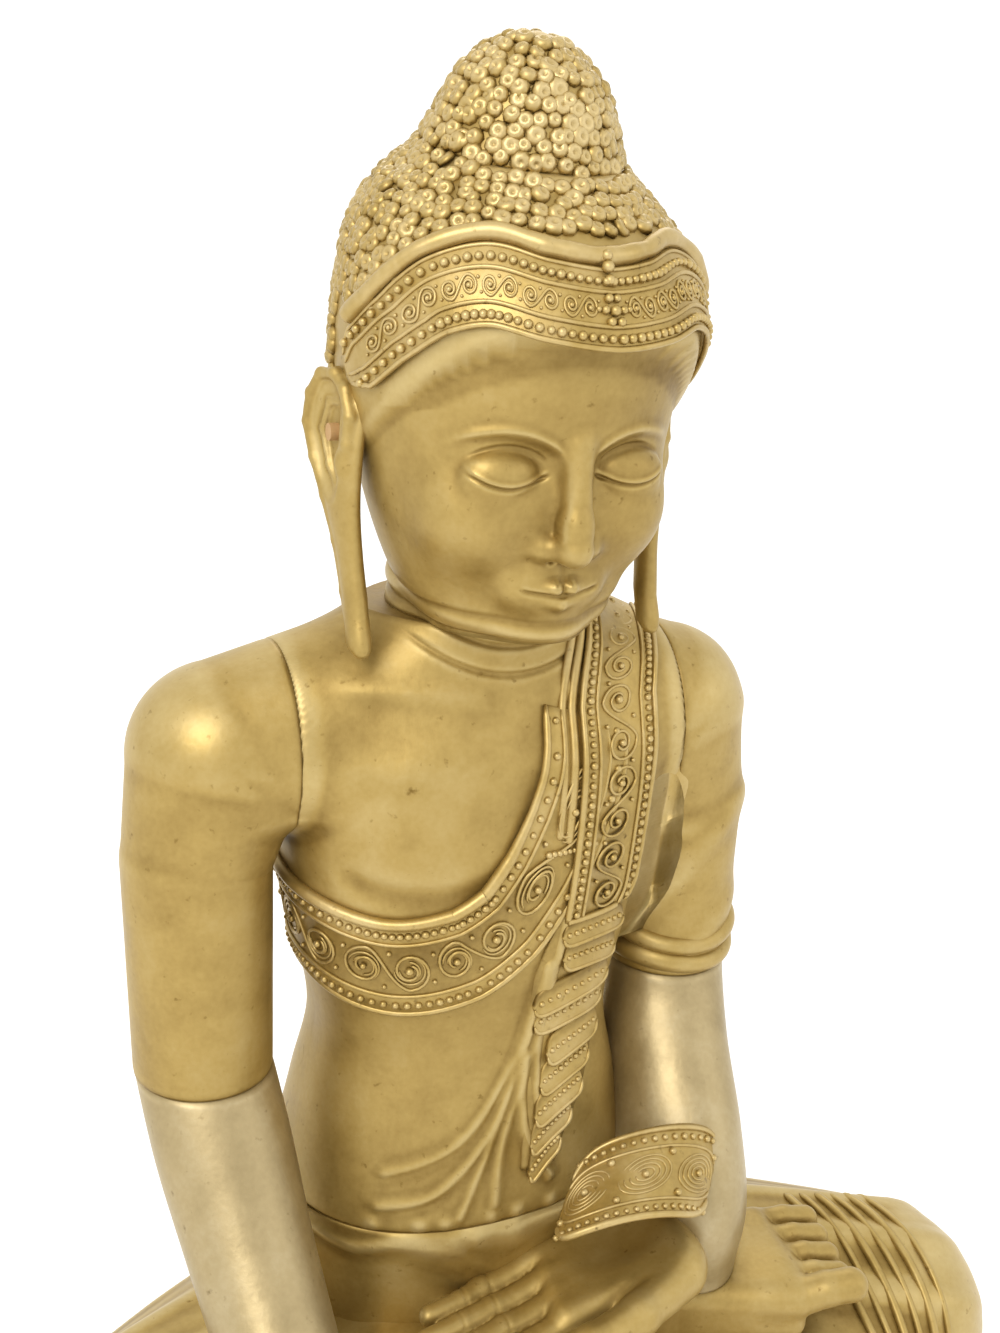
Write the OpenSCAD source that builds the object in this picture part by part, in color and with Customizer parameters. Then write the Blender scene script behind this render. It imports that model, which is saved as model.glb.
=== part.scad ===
// Seated buddha statue, Mandalay manner: carved wood blocks on dowels, with hair curls and robe
// borders modelled in lacquer putty. Millimetres, +Z up. The figure looks along -Y and its right
// hand is on the -X side. The origin is the middle of the underside of the crossed legs.

/* [Crossed legs] */
// Width over both knees
knee_span = 840; // [700:1:1010]
// Depth of the leg block over the shins and the seat
lap_depth = 416; // [380:1:460]
// Height of the waist seam over the floor
seam_h = 268; // [240:1:320]
// Radius of a knee
knee_r = 80; // [66:1:96]
// Radius of a thigh at the hip
hip_r = 98; // [84:1:110]

/* [Trunk] */
// Height of the trunk from the waist seam to the neck seam
trunk_h = 396; // [330:1:476]
// Width of the trunk at the waist seam
seat_w = 250; // [216:1:290]
// Width of the waist at its narrowest
waist_w = 206; // [180:1:240]
// Width of the chest under the armpits
chest_w = 252; // [216:1:290]
// Depth of the chest
chest_d = 168; // [144:1:200]
// Distance between the two shoulder seams
shoulder_seam_w = 260; // [216:1:300]
// Height of the neck seam over the middle of the shoulders
shoulder_drop = 86; // [76:1:100]
// Radius of the neck
neck_r = 60; // [50:1:70]

/* [Head] */
// Width of the hair cap without its curls
hair_w = 202; // [172:1:243]
// Depth of the hair cap without its curls
hair_d = 232; // [200:1:262]
// Height of the head's middle over the neck seam
head_rise = 136; // [120:1:160]
// How far the head stands in front of the trunk's middle
head_lean = 24; // [10:1:36]
// Height of the topknot's tip over the head's middle
knot_h = 190; // [172:1:224]
// Forward tilt of the head
head_tilt = 12; // [4:1:18]

/* [Arms] */
// Width over both shoulders
shoulder_w = 422; // [390:1:500]
// Radius of a shoulder
shoulder_r = 56; // [48:1:64]
// Radius of an arm at the elbow seam
elbow_r = 43; // [36:1:50]
// Radius of a wrist
wrist_r = 30; // [25:1:35]
// Height of the right elbow seam over the floor
right_elbow_z = 372; // [350:1:400]
// Height of the left elbow seam over the floor
left_elbow_z = 392; // [370:1:410]
// Thickness of a finger
finger_d = 19; // [15:1:23]

/* [Fixings] */
// Diameter of the long dowels in the waist, the neck and the shoulders
dowel_d = 24; // [16:1:30]
// Length of the long dowels
dowel_len = 90; // [60:1:110]
// Diameter of the pegs in the wrists, ears, feet and topknot
peg_d = 10; // [7:1:12]
// Length of the pegs
peg_len = 36; // [26:1:44]
// Gap between a dowel and its hole, all round
dowel_gap = 0.2; // [0.1:0.1:0.6]

/* [Lacquer putty work] */
// Distance between neighbouring hair curls
curl_pitch = 10.5; // [9:0.5:14]
// Height of a hair curl
curl_h = 5; // [3:0.5:7]
// Width of the hair band's flat strip
band_w = 34; // [26:1:42]
// Width of the chest border
border_w = 64; // [50:1:76]
// Width of the shoulder panel
panel_w = 62; // [50:1:75]
// Thickness of a putty strip
strip_t = 3; // [2:0.5:5]
// Diameter of a putty bead
bead_d = 6; // [4.5:0.5:7]

/* [Hidden] */

GOLD = "#b99a55";
WORN = "#cdb98a";
WOOD = "#8a6a45";

// ---- small functions -------------------------------------------------------------------------
function clamp(t) = max(0, min(1, t));
function unit(v) = v / norm(v);
function mix(a, b, t) = a + (b - a) * t;

// smooth curve through rows of [t, value, value ...]; c picks the column
function glide(rows, t, c) =
    let (n = len(rows),
         i = max([for (j = [0:n - 2]) rows[j][0] <= t ? j : 0]),
         u = clamp((t - rows[i][0]) / (rows[i + 1][0] - rows[i][0])),
         p0 = rows[max(i - 1, 0)][c], p1 = rows[i][c],
         p2 = rows[i + 1][c], p3 = rows[min(i + 2, n - 1)][c])
    p1 + 0.5 * u * (p2 - p0 + u * (2 * p0 - 5 * p1 + 4 * p2 - p3 + u * (3 * p1 - p0 - 3 * p2 + p3)));

// joins two distances with a fillet of size k
function blend(a, b, k) = let (h = max(k - abs(a - b), 0)) min(a, b) - h * h / (4 * k);

// distance to a rod from a to b with end radii ra and rb
function rod(p, a, b, ra, rb) =
    let (h = clamp((p - a) * (b - a) / ((b - a) * (b - a))))
    norm(p - a - h * (b - a)) - mix(ra, rb, h);

// how far from o, along d, the form ends, at most hi
function reach(form, o, d, hi, r = 0, n = 28) =
    n == 0 ? r : reach(form, o, d, hi, max(0, min(hi, r - 1.35 * form(o + d * r))), n - 1);

// closed skin over rings of equal length, counter-clockwise seen from their last ring
module skin(rings) {
    n = len(rings[0]);
    m = len(rings);
    polyhedron([for (r = rings) each r],
        [[for (j = [0:n - 1]) j],
         [for (j = [0:n - 1]) m * n - 1 - j],
         for (i = [0:m - 2], j = [0:n - 1])
             each [[i * n + j, (i + 1) * n + j, (i + 1) * n + (j + 1) % n],
                   [i * n + j, (i + 1) * n + (j + 1) % n, i * n + (j + 1) % n]]]);
}

// round tube of radius r along points, with s sides
function tube_rings(pts, r, s) =
    [for (i = [0:len(pts) - 1])
        let (t = unit(pts[min(i + 1, len(pts) - 1)] - pts[max(i - 1, 0)]),
             u = unit(cross(t, abs(t.z) > 0.9 ? [1, 0, 0] : [0, 0, 1])), v = cross(t, u),
             k = i == 0 || i == len(pts) - 1 ? 0.5 : 1)
        [for (a = [0:s - 1]) pts[i] + k * r * (cos(a * 360 / s) * u + sin(a * 360 / s) * v)]];

// turns +Z onto the direction n at the point p
module place(p, n) {
    translate(p) rotate([0, acos(n.z / norm(n)), atan2(n.y, n.x)]) children();
}

// a peg or its hole: centre p, direction n
module peg(p, n, d, len, gap = 0) {
    place(p, n) translate([0, 0, -len / 2 - gap]) cylinder(h = len + 2 * gap, d = d + 2 * gap, $fn = 48);
}

// ---- places on the figure --------------------------------------------------------------------
body_y = 97;
neck_z = seam_h + trunk_h;
waist_z = seam_h + 117;
chest_z = seam_h + 252;
shoulder_z = neck_z - shoulder_drop;
armpit_z = shoulder_z - 62;
shoulder_x = shoulder_w / 2 - shoulder_r;
elbow_x = shoulder_w / 2 - elbow_r + 1;
// both arms are carved this far towards the figure's right of the trunk's middle line
ARMS_X = -9;
lap_front = -lap_depth / 2;
head_at = [0, body_y - head_lean, neck_z + head_rise];
foot_z = 172;

// ---- trunk and shoulders ---------------------------------------------------------------------
// height, half width, front depth, back depth
TRUNK = [[seam_h, seat_w / 2, 100, 92],
         [seam_h + 58, waist_w / 2 + 11, 92, 84],
         [waist_z, waist_w / 2, chest_d / 2 - 2, 74],
         [mix(waist_z, chest_z, 0.5), mix(waist_w, chest_w, 0.55) / 2, chest_d / 2 + 2, 80],
         [chest_z, chest_w / 2, chest_d / 2 + 4, 86],
         [shoulder_z, chest_w / 2 + 4, chest_d / 2 - 2, 84],
         [neck_z - 38, 96, 64, 74],
         [neck_z, neck_r + 4, neck_r + 4, neck_r]];
TRUNK_SQUARE = 2.3;

function trunk_form(p) =
    let (a = glide(TRUNK, p.z, 1), y = p.y - body_y, d = glide(TRUNK, p.z, y < 0 ? 2 : 3),
         q = pow(pow(abs(p.x) / a, TRUNK_SQUARE) + pow(abs(y) / d, TRUNK_SQUARE), 1 / TRUNK_SQUARE))
    (q - 1) * min(a, d);

function arm_form(p, side, elbow_z) =
    let (s = [ARMS_X + side * shoulder_x, body_y + 4, shoulder_z],
         m = [ARMS_X + side * (elbow_x + 2), body_y - 2, shoulder_z - 64],
         e = [ARMS_X + side * elbow_x, body_y - 10, elbow_z - 40])
    min(rod(p, s, m, shoulder_r, elbow_r + 3), rod(p, m, e, elbow_r + 3, elbow_r),
        rod(p, [side * 36, body_y + 6, neck_z - 30], s, 36, shoulder_r));

function body_form(p) =
    blend(trunk_form(p), min(arm_form(p, -1, right_elbow_z), arm_form(p, 1, left_elbow_z)), 34);

trunk_skin = function(p) trunk_form(p);
body_skin = function(p) body_form(p);

// distance from o to the plane at x = c, along d, or far
function to_x(o, d, c) = (c - o.x) * d.x > 0.001 ? (c - o.x) / d.x : 900;
function to_z(o, d, c) = (c - o.z) * d.z > 0.001 ? (c - o.z) / d.z : 900;

function turn(a) = [cos(a), sin(a), 0];

module trunk() {
    color(GOLD) difference() {
        skin([for (z = [seam_h, seam_h + 8, each [seam_h + 30:26:shoulder_z + 24],
                        each [neck_z - 56:7:neck_z - 8], neck_z - 3, neck_z])
            [for (a = [0:9:351])
                let (o = [0, body_y, z], d = turn(a),
                     wall = min(to_x(o, d, shoulder_seam_w / 2), to_x(o, d, -shoulder_seam_w / 2), 200))
                o + d * (z < armpit_z ? reach(trunk_skin, o, d, 200) : reach(body_skin, o, d, wall))]]);
        long_dowels(dowel_gap, waist = true, neck = true, shoulders = true);
    }
}

// ---- legs -------------------------------------------------------------------------------------
function seat_form(p) =
    let (a = seat_w / 2, y = p.y - body_y, d = y < 0 ? 100 : 92)
    max((pow(pow(abs(p.x) / a, TRUNK_SQUARE) + pow(abs(y) / d, TRUNK_SQUARE), 1 / TRUNK_SQUARE) - 1)
        * min(a, d), p.z - seam_h - 40);

function leg_form(p) =
    let (kx = knee_span / 2 - knee_r,
         hip = [92, body_y + 5, hip_r], knee = [kx, 6, knee_r],
         thigh = min(rod(p, [-hip.x, hip.y, hip.z], [-knee.x, knee.y, knee.z], hip_r, knee_r),
                     rod(p, hip, knee, hip_r, knee_r)),
         shin = min(rod(p, [-kx + 4, -6, knee_r - 2], [30, lap_front + 78, 108], knee_r - 4, 50),
                    rod(p, [kx - 4, -6, knee_r - 6], [-70, lap_front + 60, 58], knee_r - 8, 56)),
         sole = max((norm([p.x / (knee_span / 2 - 26), p.y / (lap_depth / 2 - 6)]) - 1) * lap_depth / 2,
                    p.z - 46),
         core = (norm([p.x / 300, (p.y - 10) / (lap_depth / 2 - 30), (p.z - 50) / 116]) - 1) * 110)
    blend(blend(min(thigh, seat_form(p), core), shin, 18), sole, 30);

LAP_EYE = [0, 20, 70];
module lap_block() {
    color(GOLD) difference() {
        skin([for (e = [-62, -48, -36, -27, -19, -12, -6, 0, 7, 14, 21, 28, 35, 42, 49, 56, 62, 68, 74, 81])
            [for (a = [0:6:354])
                let (d = [cos(e) * cos(a), cos(e) * sin(a), sin(e)],
                     wall = min(to_z(LAP_EYE, d, 0), to_z(LAP_EYE, d, seam_h)))
                LAP_EYE + d * reach(function(p) leg_form(p), LAP_EYE, d, min(wall, 560))]]);
        long_dowels(dowel_gap, waist = true);
        foot_peg_set(dowel_gap);
    }
}

// ---- arms --------------------------------------------------------------------------------------
module upper_arm(side, elbow_z) {
    top = shoulder_z + shoulder_r;
    skin([for (z = [elbow_z, elbow_z + 10, each [elbow_z + 34:26:top - 40], top - 28, top - 18, top - 10,
                    top - 4, top - 1])
        [for (a = [0:12:348])
            let (t = clamp((z - shoulder_z + 64) / 64),
                 o = [ARMS_X + side * mix(elbow_x, shoulder_x, t), mix(body_y - 6, body_y + 4, t), z],
                 d = turn(a))
            o + d * reach(body_skin, o, d,
                          min(to_x(o, d, side * shoulder_seam_w / 2), 120))]]);
}

module right_upper_arm() {
    color(GOLD) difference() {
        upper_arm(-1, right_elbow_z);
        long_dowels(dowel_gap, shoulders = true, elbows = true);
    }
}

module left_upper_arm() {
    color(GOLD) difference() {
        upper_arm(1, left_elbow_z);
        long_dowels(dowel_gap, shoulders = true, elbows = true);
    }
}

// ring round c, flat when pitch is 0, tipped forwards by pitch
function limb_ring(c, rx, ry, pitch, n = 28) =
    [for (i = [0:n - 1]) c + [rx * cos(i * 360 / n), ry * sin(i * 360 / n) * cos(pitch),
                              ry * sin(i * 360 / n) * sin(pitch)]];

right_wrist = [-elbow_x + 11, -62, 206];
right_elbow = [ARMS_X - elbow_x, body_y - 8, right_elbow_z];
left_elbow = [ARMS_X + elbow_x, body_y - 8, left_elbow_z];
FOREARM_PITCH = -42;

module right_forearm() {
    color(GOLD) difference() {
        skin([for (i = [10:-1:0])
            let (t = i / 10, sag = sin(180 * t),
                 c = mix(right_elbow, right_wrist, t) + [0, 12 * sag, -6 * sag])
            limb_ring(c, mix(elbow_r, wrist_r + 4, pow(t, 1.4)), mix(elbow_r + 1, wrist_r, pow(t, 1.2)),
                      FOREARM_PITCH * min(1, 1.5 * t))]);
        long_dowels(dowel_gap, elbows = true);
        wrist_peg_set(dowel_gap);
    }
}

// height, middle x, middle y, half width, half depth of the sleeve that hangs to the thigh
SLEEVE = [[foot_z + 26, 138, 22, 46, 66],
          [250, 140, 24, 47, 72],
          [300, 144, 42, 45, 68],
          [345, 151, 66, 43, 54],
          [left_elbow_z, left_elbow.x, left_elbow.y, elbow_r, elbow_r + 1]];

module left_forearm() {
    color(GOLD) difference() {
        skin([for (z = [foot_z + 26, foot_z + 34, each [225:22:left_elbow_z - 16], left_elbow_z])
            limb_ring([glide(SLEEVE, z, 1), glide(SLEEVE, z, 2), z],
                      glide(SLEEVE, z, 3), glide(SLEEVE, z, 4), 0)]);
        long_dowels(dowel_gap, elbows = true);
        wrist_peg_set(dowel_gap);
    }
}

// ---- hands and feet ----------------------------------------------------------------------------
// string of hulls through balls, each given as [x, y, z, diameter]
module string_of(balls) {
    for (i = [0:len(balls) - 2]) hull() {
        translate([balls[i][0], balls[i][1], balls[i][2]]) sphere(d = balls[i][3], $fn = 10);
        translate([balls[i + 1][0], balls[i + 1][1], balls[i + 1][2]]) sphere(d = balls[i + 1][3], $fn = 10);
    }
}

// the hand reaches down over the shin; w is the wrist, fingers lie side by side
module right_hand() {
    w = right_wrist + [0, -8, -6];
    color(GOLD) difference() {
        union() {
            hull() for (i = [0:3]) {
                translate(w + [-16 + 11 * i, -2, 2]) sphere(d = 36, $fn = 12);
                translate(w + [-27 + 18 * i, -84, -50]) sphere(d = 24, $fn = 12);
            }
            for (i = [0:3]) {
                x = w.x - 27 + 18.5 * i;
                len = [8, 2, 0, 12][i];
                string_of([[x, w.y - 84, w.z - 50, finger_d + 4], [x, w.y - 116, w.z - 92, finger_d],
                           [x, w.y - 126, w.z - 136 + len, finger_d - 1],
                           [x, w.y - 127, w.z - 168 + len, finger_d - 5]]);
            }
            string_of([[w.x + 22, w.y - 30, w.z - 20, 28], [w.x + 44, w.y - 62, w.z - 48, finger_d + 3],
                       [w.x + 48, w.y - 92, w.z - 84, finger_d - 3]]);
        }
        wrist_peg_set(dowel_gap);
    }
}

left_wrist = [100, -34, 241];
// the hand lies palm up in the lap, its fingers towards the other knee
module left_hand() {
    w = left_wrist;
    color(GOLD) difference() {
        union() {
            hull() for (i = [0:3]) {
                translate(w + [4, -20 + 14 * i, 0]) sphere(d = 34, $fn = 12);
                translate(w + [-82 + 4 * i, -24 + 18 * i, -14]) sphere(d = 28, $fn = 12);
            }
            for (i = [0:3]) {
                y = w.y - 26 + 18.5 * i;
                len = [12, 2, 0, 10][i];
                string_of([[w.x - 80, y, w.z - 14, finger_d + 3], [w.x - 118, y - 4, w.z - 20, finger_d],
                           [w.x - 146 + len, y - 10, w.z - 20, finger_d - 2],
                           [w.x - 172 + len, y - 16, w.z - 17, finger_d - 5]]);
            }
            string_of([[w.x - 2, w.y - 30, w.z, 30], [w.x - 48, w.y - 52, w.z - 2, finger_d + 4],
                       [w.x - 86, w.y - 58, w.z - 4, finger_d],
                        [w.x - 116, w.y - 54, w.z - 6, finger_d - 4]]);
        }
        wrist_peg_set(dowel_gap);
    }
}

// a foot lying sole up: heel ball, sole and five toes of one length at the outer end
module foot(side) {
    mirror([side < 0 ? 1 : 0, 0, 0]) translate([52, 20, foot_z]) rotate([0, 0, -14]) {
        hull() {
            for (x = [4, 168], y = [-34, 34])
                translate([x, y * (x > 100 ? 1.16 : 0.86), 12]) sphere(d = 26, $fn = 14);
            for (x = [8, 160], y = [-22, 22]) translate([x, y, -6]) sphere(d = 26, $fn = 14);
        }
        for (i = [0:4]) string_of([[170, -38 + 19.5 * i, 12, 21], [190, -40 + 20 * i, 16, 19],
                                   [212, -42 + 20.5 * i, 10, 19]]);
    }
}

module right_foot() {
    color(GOLD) difference() {
        foot(1);
        foot_peg_set(dowel_gap);
    }
}

module left_foot() {
    color(GOLD) difference() {
        foot(-1);
        foot_peg_set(dowel_gap);
    }
}

// ---- dowels ------------------------------------------------------------------------------------
module long_dowels(gap, waist = false, neck = false, shoulders = false, elbows = false) {
    if (waist) for (s = [-1, 1]) peg([s * 60, body_y, seam_h], [0, 0, 1], dowel_d, dowel_len, gap);
    if (neck) peg([0, body_y, neck_z], [0, 0, 1], dowel_d, dowel_len, gap);
    if (shoulders) for (s = [-1, 1])
        peg([s * shoulder_seam_w / 2, body_y + 2, shoulder_z - 4], [1, 0, 0], dowel_d, dowel_len * 0.8, gap);
    if (elbows) {
        peg(right_elbow, [0, 0, 1], dowel_d, dowel_len * 0.8, gap);
        peg(left_elbow, [0, 0, 1], dowel_d, dowel_len * 0.8, gap);
    }
}

module wrist_peg_set(gap) {
    peg(right_wrist + [0, -4, -3], [0, -1, -0.8], peg_d, peg_len, gap);
    peg(left_wrist + [6, 6, 2], [1, 0.5, 0.1], peg_d, peg_len, gap);
}

module foot_peg_set(gap) {
    for (s = [-1, 1]) peg([s * 120, 4, foot_z - 12], [0, 0, 1], peg_d, peg_len, gap);
}

module waist_dowels() {
    color(WOOD) long_dowels(0, waist = true);
}

module neck_dowel() {
    color(WOOD) long_dowels(0, neck = true);
}

module shoulder_dowels() {
    color(WOOD) long_dowels(0, shoulders = true);
}

module elbow_dowels() {
    color(WOOD) long_dowels(0, elbows = true);
}

module wrist_dowels() {
    color(WOOD) wrist_peg_set(0);
}

module foot_pegs() {
    color(WOOD) foot_peg_set(0);
}

// ---- head --------------------------------------------------------------------------------------
// everything of the head is laid out upright round its middle, then tipped forwards
module on_head() {
    translate(head_at) rotate([head_tilt, 0, 0]) children();
}

function from_head(p) = head_at + [p.x, p.y * cos(head_tilt) - p.z * sin(head_tilt),
                                   p.y * sin(head_tilt) + p.z * cos(head_tilt)];
function to_head(p) = let (q = p - head_at)
    [q.x, q.y * cos(head_tilt) + q.z * sin(head_tilt), q.z * cos(head_tilt) - q.y * sin(head_tilt)];

// height over the head's middle and size as a share of the hair cap's half width
CAP = [[-70, 0.70], [-40, 0.90], [0, 0.985], [40, 1], [70, 0.97], [90, 0.89], [104, 0.78],
       [116, 0.655], [126, 0.56], [134, 0.51]];
// the face block under the hair: height, half width, front depth, back depth
FACE = [[-140, 28, 78, -30], [-126, 50, 90, -10], [-100, 72, 96, 30], [-60, 86, 98, 60],
        [-10, 94, 99, 80], [40, 96, 98, 90], [90, 88, 90, 90], [126, 50, 60, 60]];
KNOT_FOOT = 128;
KNOT_BACK = 24;

function cap_point(a, h, out = 0) =
    let (s = glide(CAP, h, 1), rx = s * hair_w / 2 + out, ry = s * hair_d / 2 + out)
    [rx * sin(a), -ry * cos(a) + KNOT_BACK * clamp((h - 60) / 70), h];

function cap_form(q) =
    let (s = glide(CAP, q.z, 1), rx = s * hair_w / 2, ry = s * hair_d / 2,
         y = q.y - KNOT_BACK * clamp((q.z - 60) / 70))
    (norm([q.x / rx, y / ry]) - 1) * rx;

function face_form(q) =
    let (y = q.y, a = glide(FACE, q.z, 1), f = glide(FACE, q.z, 2), b = glide(FACE, q.z, 3),
         mid = (b - f) / 2, d = (f + b) / 2)
    (norm([q.x / a, (y - mid) / d]) - 1) * min(a, d);

function head_form(p) =
    let (q = to_head(p),
         cap = max(cap_form(q), -46 - q.z - 1.1 * min(q.y, 16), q.z - KNOT_FOOT),
         face = max(face_form(q), -138 - q.z, q.z - 76))
    blend(blend(face, cap, 8), rod(p, [0, body_y - 2, neck_z - 40], [0, body_y - 12, neck_z + 80],
                                   neck_r + 2, neck_r - 4), 16);

HEAD_EYE_RISE = 0.66;
module head() {
    eye = head_at - [0, 6, head_rise * (1 - HEAD_EYE_RISE)];
    color(GOLD) difference() {
        skin([for (e = [-84, -76, -68, -61, -55, -49, -43, -37, -30, -23, -16, -8, 0, 9, 18, 27, 35, 42, 49,
                        55, 60, 65, 70, 75, 80, 86])
            [for (a = [0:9:351])
                let (d = [cos(e) * cos(a), cos(e) * sin(a), sin(e)], top = from_head([0, 0, KNOT_FOOT]),
                     n = [0, -sin(head_tilt), cos(head_tilt)],
                     lid = d * n > 0.01 ? (top - eye) * n / (d * n) : 900)
                eye + d * reach(function(p) head_form(p), eye, d, min(to_z(eye, d, neck_z), lid, 320))]]);
        long_dowels(dowel_gap, neck = true);
        topknot_peg(dowel_gap);
        ear_peg_set(dowel_gap);
    }
}

module topknot_peg(gap) {
    on_head() peg([0, KNOT_BACK, KNOT_FOOT], [0, 0, 1], peg_d, peg_len, gap);
}

module topknot_dowel() {
    color(WOOD) topknot_peg(0);
}

// height over the knot's foot as a share, radius as a share of the cap's half width
KNOT = [[0, 0.55], [0.18, 0.505], [0.45, 0.44], [0.7, 0.34], [0.88, 0.20], [0.97, 0.10], [1, 0.02]];
function knot_point(a, t, out = 0) =
    let (r = glide(KNOT, t, 1) * hair_w / 2 + out)
    [r * sin(a), KNOT_BACK - r * cos(a), KNOT_FOOT + t * (knot_h - KNOT_FOOT) + out * t];

module topknot() {
    color(GOLD) on_head() difference() {
        skin([for (t = [0, 0.1, 0.2, 0.32, 0.45, 0.58, 0.7, 0.8, 0.88, 0.94, 0.98, 1])
            [for (a = [0:12:348]) knot_point(a, t)]]);
        peg([0, KNOT_BACK, KNOT_FOOT], [0, 0, 1], peg_d, peg_len, dowel_gap);
    }
}

// curls stand on rows a pitch apart, each row shifted by half a pitch
module curl(p, n) {
    place(p - 1.2 * unit(n), n)
        cylinder(h = curl_h + 1.2, r1 = curl_pitch * 0.42, r2 = curl_pitch * 0.12, $fn = 24);
}

// places from t to last on a profile of shares, a gap apart along the slope; rise and r give the
// height and the radius of one whole unit
function rows_up(profile, t, last, rise, r, gap) =
    let (d = gap / rise / 4,
         slope = r * (glide(profile, t + d, 1) - glide(profile, t, 1)) / d)
    t > last ? [] : [t, each rows_up(profile, t + gap / norm([rise, slope]), last, rise, r, gap)];

CAP_ROWS = rows_up(CAP, -58, 124, 1, (hair_w + hair_d) / 4, curl_pitch * 0.87);
module head_curls() {
    color(GOLD) on_head() for (k = [0:len(CAP_ROWS) - 1]) {
        h = CAP_ROWS[k];
        n = floor(360 * glide(CAP, h, 1) * (hair_w + hair_d) / 4 * PI / 180 / curl_pitch);
        for (i = [0:n - 1]) {
            a = (i + (k % 2) / 2) * 360 / n;
            side = abs(a > 180 ? a - 360 : a);
            p = cap_point(a, h);
            up = cap_point(a, h + 3) - cap_point(a, h - 3);
            around = cap_point(a + 2, h) - cap_point(a - 2, h);
            if (h > hairline(side)) curl(p, cross(around, up));
        }
    }
}

// lowest curls: over the band in front, behind the ears, down to the nape at the back
function hairline(side) = side < 80 ? band_mid(side) + band_w / 2 + 9 : side < 104 ? 46 : -60;

module topknot_curls() {
    rows = rows_up(KNOT, 0.08, 0.98, knot_h - KNOT_FOOT, hair_w / 2, curl_pitch * 0.87);
    color(GOLD) on_head() for (k = [0:len(rows) - 1]) {
        t = rows[k];
        n = max(1, floor(2 * PI * glide(KNOT, t, 1) * hair_w / 2 / curl_pitch));
        for (i = [0:n - 1]) {
            a = (i + (k % 2) / 2) * 360 / n;
            up = knot_point(a, min(t + 0.03, 1)) - knot_point(a, t - 0.03);
            around = knot_point(a + 2, t) - knot_point(a - 2, t);
            curl(knot_point(a, t), cross(around, up));
        }
    }
}

// ---- hair band ---------------------------------------------------------------------------------
// height of the band's middle line over the head's middle, at an angle from the front
BAND = [[0, 79], [20, 81], [38, 83], [54, 72], [68, 48], [80, 24], [88, 10]];
BAND_END = 86;
function band_mid(a) = glide(BAND, abs(a), 1);
// point on the band: angle, place across from -1 to 1, height over the skin
function band_point(a, v, out) =
    let (da = 1.5, m = band_mid(a),
         slope = (band_mid(a + da) - band_mid(a - da)) / (2 * da * PI / 180 * hair_w / 2),
         k = 1 / sqrt(1 + slope * slope), w = v * band_w / 2)
    cap_point(a - w * slope * k * 180 / PI / (hair_w / 2), m + w * k, out - 3.5);

// strip of putty over a surface given as f(s, v, out), s from s0 to s1
module strip(f, s0, s1, n, t, w = 1) {
    skin([for (i = [0:n]) let (s = mix(s0, s1, i / n))
        [f(s, -w, -2), f(s, w, -2), f(s, w, t - 1), f(s, 0.8 * w, t), f(s, -0.8 * w, t), f(s, -w, t - 1)]]);
}

module cord_on(f, s0, s1, n, v, out, r, sides = 6) {
    skin(tube_rings([for (i = [0:n]) f(mix(s0, s1, i / n), v, out)], r, sides));
}

module hair_band() {
    color(GOLD) on_head() strip(function(s, v, o) band_point(s, v, o), BAND_END, -BAND_END, 48, strip_t);
}

module hair_band_roll() {
    color(WORN) on_head()
        cord_on(function(s, v, o) band_point(s, v, o), -78, 78, 38, 1.24, strip_t + 1, 6.5, 8);
}

module hair_band_cords() {
    color(GOLD) on_head() for (v = [-1, -0.42, 0.42])
        cord_on(function(s, v, o) band_point(s, v, o), -BAND_END, BAND_END, 34, v, strip_t, 1.6, 5);
}

module hair_band_beads() {
    n = floor(2 * BAND_END * PI / 180 * hair_w / 2 / (bead_d * 1.35));
    color(GOLD) on_head() for (v = [-0.7, 0.72], i = [0:n])
        translate(band_point(mix(-BAND_END, BAND_END, i / n) + 0.01, v, strip_t + 0.6))
            sphere(d = bead_d, $fn = 16);
}

// a volute of the running scroll: a ring of putty with a bead inside
module volute(p, n, r) {
    place(p, n) {
        rotate_extrude($fn = 24) translate([r, 0]) circle(d = 2.4, $fn = 16);
        sphere(d = r, $fn = 16);
    }
}

module hair_band_scrolls() {
    step = 9.5 * 180 / PI / (hair_w / 2);
    color(GOLD) on_head() for (a = [step * 1.4:step:BAND_END - 4], s = [-1, 1]) {
        p = band_point(s * a, 0, strip_t);
        volute(p, [p.x, p.y, 20], 3.1);
    }
}

// rosette of six petals over the middle of the forehead, with two drops over it
module hair_band_flower() {
    c = band_point(0, 0, strip_t + 1);
    color(GOLD) on_head() place(c, [0, -1, 0.2]) {
        sphere(d = 6, $fn = 20);
        for (i = [0:5]) rotate(60 * i + 30) translate([6.4, 0, 0]) sphere(d = 6.4, $fn = 20);
        translate([-13, 0, 0]) sphere(d = 7, $fn = 20);
        translate([-18.5, 0, 0]) sphere(d = 5, $fn = 20);
    }
}

// ---- ears --------------------------------------------------------------------------------------
// share of the length, forward place, outward place, half width, half thickness
EAR = [[0, 4, 0, 9, 5], [0.08, 2, 2, 20, 7], [0.25, -3, 5, 23, 8], [0.45, -15, 4, 17, 7],
       [0.65, -30, 0, 10, 6], [0.85, -44, -1, 9, 6], [0.96, -54, -1, 8, 6], [1, -58, -1, 3, 3]];
ear_len = 150;
ear_top_h = 8;
// how far an ear's back edge stands out for each millimetre of its width
EAR_FLARE = 0.25;

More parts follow.
